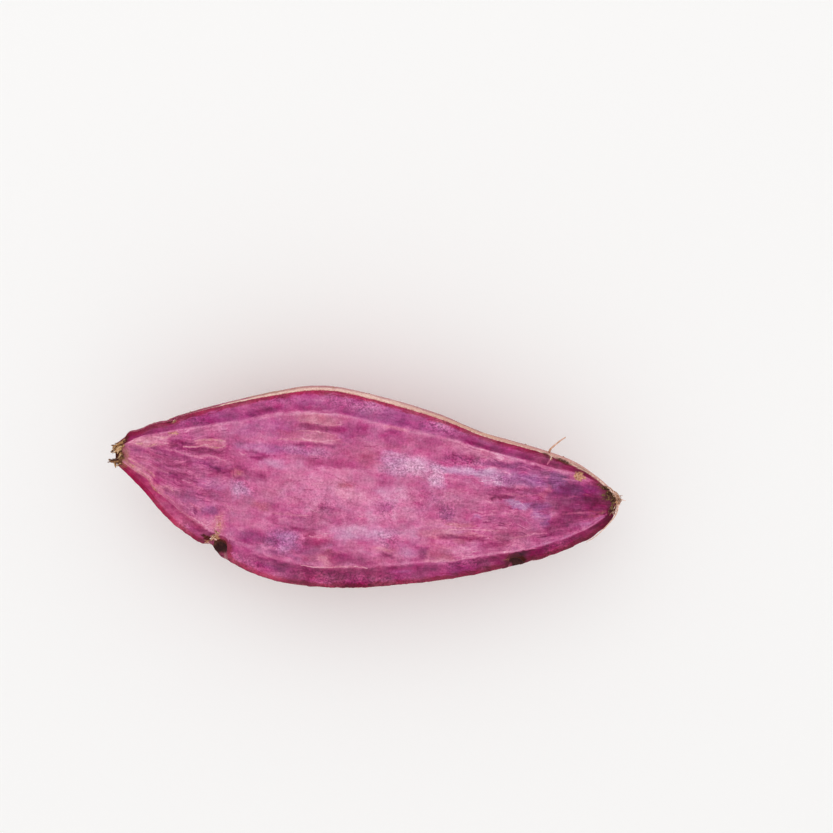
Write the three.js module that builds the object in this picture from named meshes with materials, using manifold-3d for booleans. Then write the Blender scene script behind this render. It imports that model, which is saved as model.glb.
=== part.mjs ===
// Half of a purple sweet potato, split lengthwise through both of its ends.
//
// The half lies on its skin with the cut face up and level. It is one solid, as it grew.
// Units are millimetres. +Z is up, +X runs from the stem end to the root end, and the origin is on
// the surface that the half rests on, below the middle of its bounding box.
//
// The shape is a loft on three rails that all run from the stem end to the root end: the far edge
// and the near edge of the cut face, and the keel, which is the deepest line of the skin side.
// Booleans then add the broken strands of the stalk at the stem end, and cut the pits of the scars
// that the knife went through and the small flat that the half rests on.

import * as THREE from "three";
import { mergeVertices } from "three/addons/utils/BufferGeometryUtils.js";
import Module from "manifold-3d";

const wasm = await Module();
wasm.setup();

// The ends of the root, on the plane of the cut: x, y.
const STEM_END = [-83.8, 1.1];
const ROOT_END = [85, -1.2];

// The cut face's edge on the +Y side, between the two ends: x, y.
const FAR_EDGE = [
  [-83.6, 3.5],
  [-82.7, 4.8],
  [-81.3, 6.1],
  [-80.3, 7.9],
  [-78.8, 8.8],
  [-75, 10.3],
  [-65, 14.1],
  [-57, 17.2],
  [-44, 21.5],
  [-31, 25.1],
  [-22, 27.2],
  [-13, 27.8],
  [-2, 26.5],
  [12, 23.9],
  [24, 21.2],
  [37, 17.1],
  [47, 15.1],
  [60, 12.7],
  [68, 10.5],
  [75, 7],
  [81, 2.9],
  [84.3, 0.3],
];

// The cut face's edge on the -Y side: x, y.
const NEAR_EDGE = [
  [-83.5, -1.4],
  [-82.5, -3.3],
  [-80.3, -5.1],
  [-77, -7.9],
  [-74, -10.6],
  [-69, -15.7],
  [-64.5, -19.9],
  [-59.7, -23.4],
  [-56, -25.3],
  [-51, -27.2],
  [-46.5, -30.3],
  [-40, -33.8],
  [-30, -37],
  [-20, -38.2],
  [-3, -37.8],
  [12, -35.6],
  [30, -32],
  [48, -26.8],
  [62, -21.7],
  [72, -16.6],
  [79, -11],
  [83, -5.6],
];

// The keel: x, and the depth below the cut face.
const KEEL = [
  [-83.3, 3.2],
  [-80.2, 6],
  [-73, 10.4],
  [-63, 17],
  [-50, 24.6],
  [-36, 30.2],
  [-20, 33.1],
  [-4, 34.2],
  [12, 33],
  [29, 29],
  [46, 22.8],
  [60, 17.4],
  [71, 12.6],
  [79, 8.2],
  [83.4, 4],
];

const STATIONS = 84; // sections along the root
const AROUND = 30; // steps round the skin side of a section
const END_CROWDING = 0.1; // how far the stations crowd towards both ends, where the form turns fastest
const CUT_ABOVE_MIDDLE = 0.21; // radians: the cut is above the root's middle, so the skin flares out below the edge
const FULLNESS = 1.08; // over 1 makes a section squarer than an ellipse

// Broad swells (+) and hollows (-) of the skin side. `around` is in degrees from the far edge, through
// the keel at 90, to the near edge at 180. `long` and `wide` are the half-sizes, `rise` the height.
const SWELLS = [
  { x: -58, around: 55, long: 15, wide: 13, rise: 1.3 },
  { x: -40, around: 128, long: 20, wide: 15, rise: 1.2 },
  { x: -14, around: 38, long: 22, wide: 12, rise: 1.1 },
  { x: 14, around: 140, long: 20, wide: 14, rise: 1.2 },
  { x: 34, around: 62, long: 18, wide: 13, rise: 1.0 },
  { x: 58, around: 120, long: 14, wide: 12, rise: 1.1 },
  { x: -68, around: 110, long: 9, wide: 14, rise: -1.1 },
  { x: -22, around: 152, long: 13, wide: 8, rise: -0.9 },
  { x: 22, around: 34, long: 13, wide: 8, rise: -1.0 },
  { x: 47, around: 92, long: 11, wide: 12, rise: -0.9 },
  { x: 70, around: 76, long: 8, wide: 10, rise: -0.8 },
];

// Root scars on the skin side: shallow hollows where side roots broke off.
const SKIN_SCARS = [
  { x: -46, around: 74, long: 4.4, wide: 3.2, rise: -1.3 },
  { x: -27, around: 112, long: 4.0, wide: 3.0, rise: -1.1 },
  { x: -4, around: 58, long: 4.6, wide: 3.2, rise: -1.3 },
  { x: 12, around: 118, long: 4.0, wide: 3.0, rise: -1.2 },
  { x: 31, around: 40, long: 3.8, wide: 2.8, rise: -1.0 },
  { x: 39, around: 126, long: 4.2, wide: 3.0, rise: -1.2 },
  { x: 57, around: 66, long: 3.6, wide: 2.6, rise: -1.0 },
  { x: -61, around: 134, long: 3.8, wide: 2.8, rise: -1.0 },
];

// Scars that the knife cut through, open on the cut face: centre x, y and the pit's three half-sizes.
const CUT_SCARS = [
  { at: [-47, -28.2], half: [2.7, 2.6, 3.4] },
  { at: [51.9, -24.3], half: [2.5, 1.4, 2.1] },
  { at: [-66.2, 14.2], half: [2.1, 0.9, 1.7] },
];

// The broken strands of the stalk, which stand out of the stem end a little below the cut: the two
// ends of each, and its radius where it leaves the root and where it broke.
const STALK_STRANDS = [
  { from: [-81.4, 4, -1.3], to: [-85.6, 2.5, -1.3], thick: 1.15, broken: 0.65 },
  { from: [-82.2, 0.8, -1], to: [-85.6, 1.1, -1.1], thick: 0.55, broken: 0.4 },
  { from: [-80.8, -2.2, -1.3], to: [-86.2, -1.7, -1.5], thick: 1.05, broken: 0.6 },
  { from: [-84.2, -1.9, -1.4], to: [-83.3, -4, -1.7], thick: 0.55, broken: 0.35 },
  { from: [-81.6, 1.6, -2.6], to: [-84.9, 1.9, -4.1], thick: 1, broken: 0.6 },
];

const STRAND_SIDES = 10; // sides of a strand of the stalk
const REST_FLAT = 0.5; // how much of the keel the resting flat takes off
const SLAB_ROOM = 10; // the thickness of the slab that cuts the flat, and how far it reaches past the ends

// A smooth rail from the stem end to the root end, as a function of the share of its length.
function rail(points, stemEnd, rootEnd) {
  const path = [stemEnd, ...points, rootEnd].map(([x, y]) => new THREE.Vector3(x, y, 0));
  const curve = new THREE.CatmullRomCurve3(path, false, "centripetal");
  curve.arcLengthDivisions = 2000;
  return (share) => curve.getPointAt(share);
}

const farEdge = rail(FAR_EDGE, STEM_END, ROOT_END);
const nearEdge = rail(NEAR_EDGE, STEM_END, ROOT_END);
const keel = rail(KEEL, [STEM_END[0], 0], [ROOT_END[0], 0]);

// The share of the rails' length at a station.
function shareAt(station) {
  const t = station / STATIONS;
  return t - END_CROWDING * Math.sin(2 * Math.PI * t);
}

// A power that keeps the sign, for sections that are squarer than an ellipse.
function fuller(value) {
  return Math.sign(value) * Math.abs(value) ** (1 / FULLNESS);
}

// How far the skin stands out at a place, from every swell and scar that reaches it.
function riseAt(x, degrees, girth) {
  let rise = 0;
  for (const bump of [...SWELLS, ...SKIN_SCARS]) {
    const along = (x - bump.x) / bump.long;
    const across = ((degrees - bump.around) / 180) * (girth / bump.wide);
    rise += bump.rise * Math.exp(-(along * along + across * across));
  }
  return rise;
}

// A point of the skin at a share of the rails' length, with `turn` 0 at the far edge and 1 at the near edge.
function skinPoint(share, turn) {
  const far = farEdge(share);
  const near = nearEdge(share);
  const bottom = keel(share);
  const middle = far.clone().add(near).multiplyScalar(0.5);
  const half = far.clone().sub(near).multiplyScalar(0.5);
  const angle = -CUT_ABOVE_MIDDLE + turn * (Math.PI + 2 * CUT_ABOVE_MIDDLE);
  const flare = fuller(Math.cos(angle)) / fuller(Math.cos(CUT_ABOVE_MIDDLE));
  const top = fuller(Math.sin(CUT_ABOVE_MIDDLE));
  const drop = (fuller(Math.sin(angle)) + top) / (1 + top);
  const depth = bottom.y * drop;
  const point = middle.clone().addScaledVector(half, flare);
  point.x += (bottom.x - middle.x) * drop;
  point.z = -depth;
  const girth = Math.PI * Math.max(bottom.y, 1);
  const fade = Math.sin(Math.PI * turn) * Math.min(1, bottom.y / 8);
  const outward = new THREE.Vector3(0, Math.cos(angle), -Math.sin(angle));
  return point.addScaledVector(outward, riseAt(point.x, turn * 180, girth) * fade);
}

// The whole half before the cuts: rings of skin points, joined to each other and across the cut face.
function halfRoot() {
  const corners = [];
  const faces = [];
  const ring = (station) => 1 + (station - 1) * (AROUND + 1);
  corners.push(new THREE.Vector3(...STEM_END, 0));
  for (let station = 1; station < STATIONS; station++) {
    for (let step = 0; step <= AROUND; step++) {
      corners.push(skinPoint(shareAt(station), step / AROUND));
    }
  }
  const last = corners.length;
  corners.push(new THREE.Vector3(...ROOT_END, 0));
  const sides = AROUND + 1; // the last side of a ring closes it across the cut face
  for (let side = 0; side < sides; side++) {
    const next = (side + 1) % sides;
    faces.push([0, ring(1) + side, ring(1) + next]);
    faces.push([last, ring(STATIONS - 1) + next, ring(STATIONS - 1) + side]);
    for (let station = 1; station < STATIONS - 1; station++) {
      const here = ring(station);
      const there = ring(station + 1);
      faces.push([here + side, there + next, here + next]);
      faces.push([here + side, there + side, there + next]);
    }
  }
  const geometry = new THREE.BufferGeometry().setFromPoints(corners);
  geometry.setIndex(faces.flat());
  return geometry;
}

// A three.js geometry as a manifold-3d solid.
function solidOf(geometry) {
  const bare = geometry.clone();
  bare.deleteAttribute("normal");
  bare.deleteAttribute("uv");
  const merged = mergeVertices(bare, 1e-4);
  const mesh = new wasm.Mesh({
    numProp: 3,
    vertProperties: merged.attributes.position.array,
    triVerts: new Uint32Array(merged.index.array),
  });
  return new wasm.Manifold(mesh);
}

// A manifold-3d solid as a three.js geometry.
function geometryOf(solid) {
  const mesh = solid.getMesh();
  const geometry = new THREE.BufferGeometry();
  geometry.setAttribute("position", new THREE.BufferAttribute(mesh.vertProperties, 3));
  geometry.setIndex(new THREE.BufferAttribute(mesh.triVerts, 1));
  geometry.computeVertexNormals();
  return geometry;
}

// The pit of a scar that the knife went through: an ellipsoid whose middle is on the cut face.
function scarPit({ at, half }) {
  const pit = new THREE.SphereGeometry(1, 20, 14);
  pit.scale(...half);
  pit.translate(...at, 0);
  return pit;
}

// A broken strand of the stalk: a tapered stub between its two ends.
function strandStub({ from, to, thick, broken }) {
  const start = new THREE.Vector3(...from);
  const along = new THREE.Vector3(...to).sub(start);
  const stub = new THREE.CylinderGeometry(broken, thick, along.length(), STRAND_SIDES);
  stub.translate(0, along.length() / 2, 0);
  stub.applyQuaternion(new THREE.Quaternion().setFromUnitVectors(
    new THREE.Vector3(0, 1, 0),
    along.clone().normalize(),
  ));
  stub.translate(...from);
  return stub;
}

// The slab below the resting flat.
function belowTheFlat(lowest) {
  const side = ROOT_END[0] - STEM_END[0] + 2 * SLAB_ROOM;
  const slab = new THREE.BoxGeometry(side, side, SLAB_ROOM);
  slab.translate(0, 0, lowest + REST_FLAT - SLAB_ROOM / 2);
  return slab;
}

const whole = halfRoot();
whole.computeBoundingBox();
let solid = solidOf(whole);
for (const strand of STALK_STRANDS) {
  solid = solid.add(solidOf(strandStub(strand)));
}
for (const scar of CUT_SCARS) {
  solid = solid.subtract(solidOf(scarPit(scar)));
}
solid = solid.subtract(solidOf(belowTheFlat(whole.boundingBox.min.z)));

const shape = geometryOf(solid);
shape.computeBoundingBox();
const { min, max } = shape.boundingBox;
shape.translate(-(min.x + max.x) / 2, -(min.y + max.y) / 2, -min.z);

const flesh = new THREE.MeshStandardMaterial({ color: 0xb85a8c, roughness: 0.6, metalness: 0 });
const sweetPotatoHalf = new THREE.Mesh(shape, flesh);
sweetPotatoHalf.name = "sweet_potato_half";

const group = new THREE.Group();
group.add(sweetPotatoHalf);

export default group;
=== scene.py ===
import math
import random

import bmesh
import bpy
import numpy as np
from mathutils import Matrix, Vector, noise
from mathutils.bvhtree import BVHTree


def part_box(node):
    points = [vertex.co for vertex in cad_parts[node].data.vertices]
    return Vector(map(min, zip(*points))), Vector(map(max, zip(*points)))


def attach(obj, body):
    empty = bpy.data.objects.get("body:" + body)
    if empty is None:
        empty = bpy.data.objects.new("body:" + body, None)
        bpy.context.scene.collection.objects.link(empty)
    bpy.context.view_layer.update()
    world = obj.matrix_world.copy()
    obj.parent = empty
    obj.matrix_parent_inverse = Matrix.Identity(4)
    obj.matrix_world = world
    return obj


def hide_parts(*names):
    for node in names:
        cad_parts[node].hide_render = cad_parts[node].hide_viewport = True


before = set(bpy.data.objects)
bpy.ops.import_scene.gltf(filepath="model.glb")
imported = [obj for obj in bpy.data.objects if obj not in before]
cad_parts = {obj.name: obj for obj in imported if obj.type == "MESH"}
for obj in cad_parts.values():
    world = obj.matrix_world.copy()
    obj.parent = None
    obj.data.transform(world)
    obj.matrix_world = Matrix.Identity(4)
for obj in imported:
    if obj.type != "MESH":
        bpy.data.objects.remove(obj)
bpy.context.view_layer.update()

mm = 0.001
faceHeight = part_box("sweet_potato_half")[1].z  # the knife's plane


def linear(hexColour):
    channels = [int(hexColour[i:i + 2], 16) / 255 for i in (1, 3, 5)]
    return tuple(c / 12.92 if c <= 0.04045 else ((c + 0.055) / 1.055) ** 2.4 for c in channels) + (1,)


def addNode(tree, kind, inputs=None, stops=None, **settings):
    node = tree.nodes.new(kind)
    for name, value in settings.items():
        setattr(node, name, value)
    for socket, value in (inputs or {}).items():
        if isinstance(value, bpy.types.Node):
            value = value.outputs[0]
        if isinstance(value, bpy.types.NodeSocket):
            tree.links.new(value, node.inputs[socket])
        else:
            node.inputs[socket].default_value = value
    for k, (at, colour) in enumerate(stops or []):
        points = node.color_ramp.elements
        point = points[k] if k < 2 else points.new(at)
        point.position = at
        point.color = linear(colour)
    return node


def smoothStep(low, high, value):
    t = np.clip((value - low) / (high - low), 0, 1)
    return t * t * (3 - 2 * t)


def along(table, x):
    places, values = zip(*table)
    return np.interp(x, places, values)


# the half itself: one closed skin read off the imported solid

half = {
    "stations": 400,  # sections from the stem end to the root end
    "around": 98,  # steps round the skin of a section
    "across": 136,  # steps across the cut face
    "endCrowding": 0.1,  # how far the sections crowd towards both ends
    "rimCrowding": 0.07,  # how far the steps crowd towards the rim
    "skim": 0.02,  # mm under the cut face at which the sections are read
    "facetBlur": 2.6,  # steps over which the solid's facets are smoothed away
    "keepDepth": 0.35,  # mm: a hollow this deep stays as the solid has it
    "lumps": 0.3,  # mm of broad unevenness of the skin
    "furrows": 0.14,  # mm of lengthwise furrows, more towards the ends
    "wrinkles": 0.07,  # mm of short cracks and wrinkles
    "farJitter": 0.1,  # mm by which the peel's edge strays on the far side, where it is dry
    "nearJitter": 0.34,  # the same on the near side, where the knife tore it
    "knifeWaves": 0.05,  # mm of waves that the knife left
    "fibreRidges": 0.05,  # mm that the fibres stand up as the face dries
    "ringGroove": 0.1,  # mm that the ring sinks
    "woodSinks": 0.5,  # mm that a healed wound sinks below the face
    "faceSinks": 0.08,  # mm that the face lies below its rim
    "scarRim": 0.22,  # mm that the skin swells round a root scar
    "scarPit": 0.3,  # mm that the middle of the scar sinks
    "raggedness": 0.35,  # mm of roughness inside a healed wound
    "stemBark": 3.7,  # mm of dark bark round the stem end
    "rootBark": 3.5,  # mm of it round the root end
    "stemStraw": 3.2,  # mm of straw-coloured fibre round the stem end
    "scraped": (-44, -56),  # mm along the root where the scraped peel starts, and where it is bare
    "plainTone": 0.56,  # tone of the flesh where no patch is painted
    "plainSpeckleAndGlint": 0.12,  # specks where no patch has them
}

# where side roots broke off: mm along the root, degrees from the far edge round under the belly, size in mm
rootScars = [
    (-45.4, 72, 2.4), (-26.4, 115, 2.1), (-3.4, 54, 2.5), (12.6, 122, 2.2),
    (31.6, 36, 1.9), (39.6, 130, 2.2), (57.6, 63, 1.8), (-60.4, 138, 2.0),
]

# healed wounds that the knife cut through at the rim: x, y, size in mm and how dark they are
rimWounds = [(-46.3, -23, 3.5, 1.3), (52.9, -18.9, 3, 1.2), (-65.8, 19.4, 1.3, 0.8)]

# where the cut edge steps in or stands out: x, y, depth in mm (below 0: proud) and size in mm
rimSteps = [
    (-49, -22.3, 2.0, 1.4), (-53.4, -20.9, -0.55, 1.8), (-45.8, -25.2, -1.0, 1.7), (-67.2, 18, 0.5, 1.7),
    (-63.4, 20, -0.2, 1.2), (-76, 14.4, 0.7, 2.6), (-80, 11.4, 0.3, 1.2), (57.4, -18, 0.35, 1.2),
    (61, -17, -0.25, 2.0), (82.4, -3, -1.1, 3.4), (77, -8.6, -0.7, 3),
]

# the ring of vessels between cortex and core, on the far and the near side: x, y in mm
ringFar = [
    (-81, 9), (-75, 12.4), (-65, 15.2), (-50, 18.8), (-40, 21.1), (-30, 24), (-20, 25.4), (-10, 25.3),
    (0, 23.9), (10, 22.7), (20, 21.3), (30, 19.5), (40, 17.4), (50, 15.3), (60, 13.5), (70, 12.4), (80, 9),
    (84, 6),
]
ringNear = [
    (-81, 3.6), (-76, 0.6), (-72, -1.6), (-66, -7.4), (-57, -13.4), (-50, -17.5), (-38, -21.8), (-30, -24),
    (-20, -26), (-12, -26.3), (0, -25.3), (10, -24.2), (20, -22.7), (30, -21.4), (40, -18.7), (50, -16.3),
    (60, -13.5), (70, -9.3), (76, -5.6), (82, -0.6), (84, 2),
]
# how much paler than the flesh round it the ring is
ringPaleFar = [
    (-80, 0.1), (-66, 0.1), (-50, 0.07), (-20, 0.08), (-8, 0.1), (20, 0.07), (46, 0.09), (54, 0.05),
    (62, 0.03), (70, 0),
]
ringPaleNear = [
    (-80, 0.1), (-64, 0.04), (-50, 0.04), (-34, 0.05), (-18, 0.01), (8, 0.02), (28, 0.05), (36, 0.08),
    (60, 0.08), (74, 0.08), (79, 0),
]

# lightness and warmth of the cortex along the root, on the far and the near side
cortexFar = [
    (-82, 0.32, 0.2), (-75, 0.41, 0.2), (-67, 0.43, 0.1), (-62, 0.46, -0.2), (-57, 0.5, -0.18),
    (-51, 0.47, -0.18), (-44, 0.49, -0.18), (-34, 0.51, -0.18), (-22, 0.53, -0.08), (-10, 0.52, -0.18),
    (2, 0.56, -0.38), (12, 0.53, -0.23), (24, 0.53, -0.38), (34, 0.48, -0.18), (46, 0.48, -0.08),
    (56, 0.42, 0.22), (64, 0.38, 0.4), (70, 0.36, 0.8), (80, 0.3, 0.8),
]
cortexNear = [
    (-80, 0.44, 1.05), (-70, 0.49, 0.9), (-65, 0.52, 0.65), (-60, 0.56, 0.55), (-56, 0.47, 0.65),
    (-52, 0.42, 0.45), (-43, 0.47, 0.05), (-34, 0.56, 0.05), (-25, 0.47, 0.15), (-17, 0.4, 0.45),
    (-8, 0.42, 0.4), (-2, 0.39, 0.45), (8, 0.41, 0.25), (20, 0.43, 0.15), (34, 0.43, -0.1),
    (45, 0.37, 0.35), (52, 0.32, 0.65), (58, 0.29, 0.55), (66, 0.41, 0.3), (72, 0.36, 0.5),
    (82, 0.26, 0.85),
]
# how much denser than elsewhere the dye of the cortex is
dyeFar = [(-80, 0.04), (80, 0.04)]
dyeNear = [(-78, 0.1), (-62, 0.06), (-46, 0.02), (-30, 0.02), (10, -0.02), (40, 0), (80, 0.04)]
# single patches of the cortex: x, y, half length, half width, tilt, lightness, warmth
cortexPatches = [
    (-58.5, -17, 3.4, 1.5, -28, 0.58, 0.2), (-54.5, -18, 2.6, 1.1, -26, 0.42, 0.2),
    (-35, 24.2, 7, 1.3, 16, 0.4, -0.1), (-29, -25.4, 5, 0.8, -9, 0.4, -0.1),
    (-29, -27.6, 7, 1, -9, 0.42, -0.2), (37, 18.8, 5, 0.8, -12, 0.4, 0), (0, -31, 6, 1, 3, 0.3, 0.4),
    (-13, -31.6, 3, 0.9, 0, 0.49, 0.1), (1, 27, 4, 1.4, 0, 0.6, -0.5), (-20, 29, 6, 2, 4, 0.54, -0.3),
    (26, 23.6, 5, 1.3, -12, 0.56, -0.5), (16, -25.8, 4, 0.9, 6, 0.49, -0.3),
    (54, -17.4, 6, 1.4, 14, 0.28, 0.5), (72, 11.2, 6, 1.4, -20, 0.33, 0.6),
]

# width of the pale edge of the peel, in mm down the skin: dry papery peel, and on the far side, which faces
# the lamp, partly a painted highlight
dryEdgeAndHighlightFar = [(-82, 0.05), (-56, 0.05), (-48, 0.9), (-38, 1.8), (-20, 3), (0, 4.4), (30, 4.2), (45, 3.6), (84, 3)]
lipNear = [(-82, 0.05), (60, 0.05), (72, 0.7), (84, 1)]

# width of the same pale edge where it turns over onto the cut face, on the far side only; it is partly a
# painted highlight
dryEdgeAndHighlightOnFace = [
    (-60, 0.02), (-30, 0.25), (20, 0.35), (54, 0.3), (60, 0.5), (66, 1.2), (69, 1.1), (74, 0.7), (80, 0.7),
    (84, 1),
]

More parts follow.
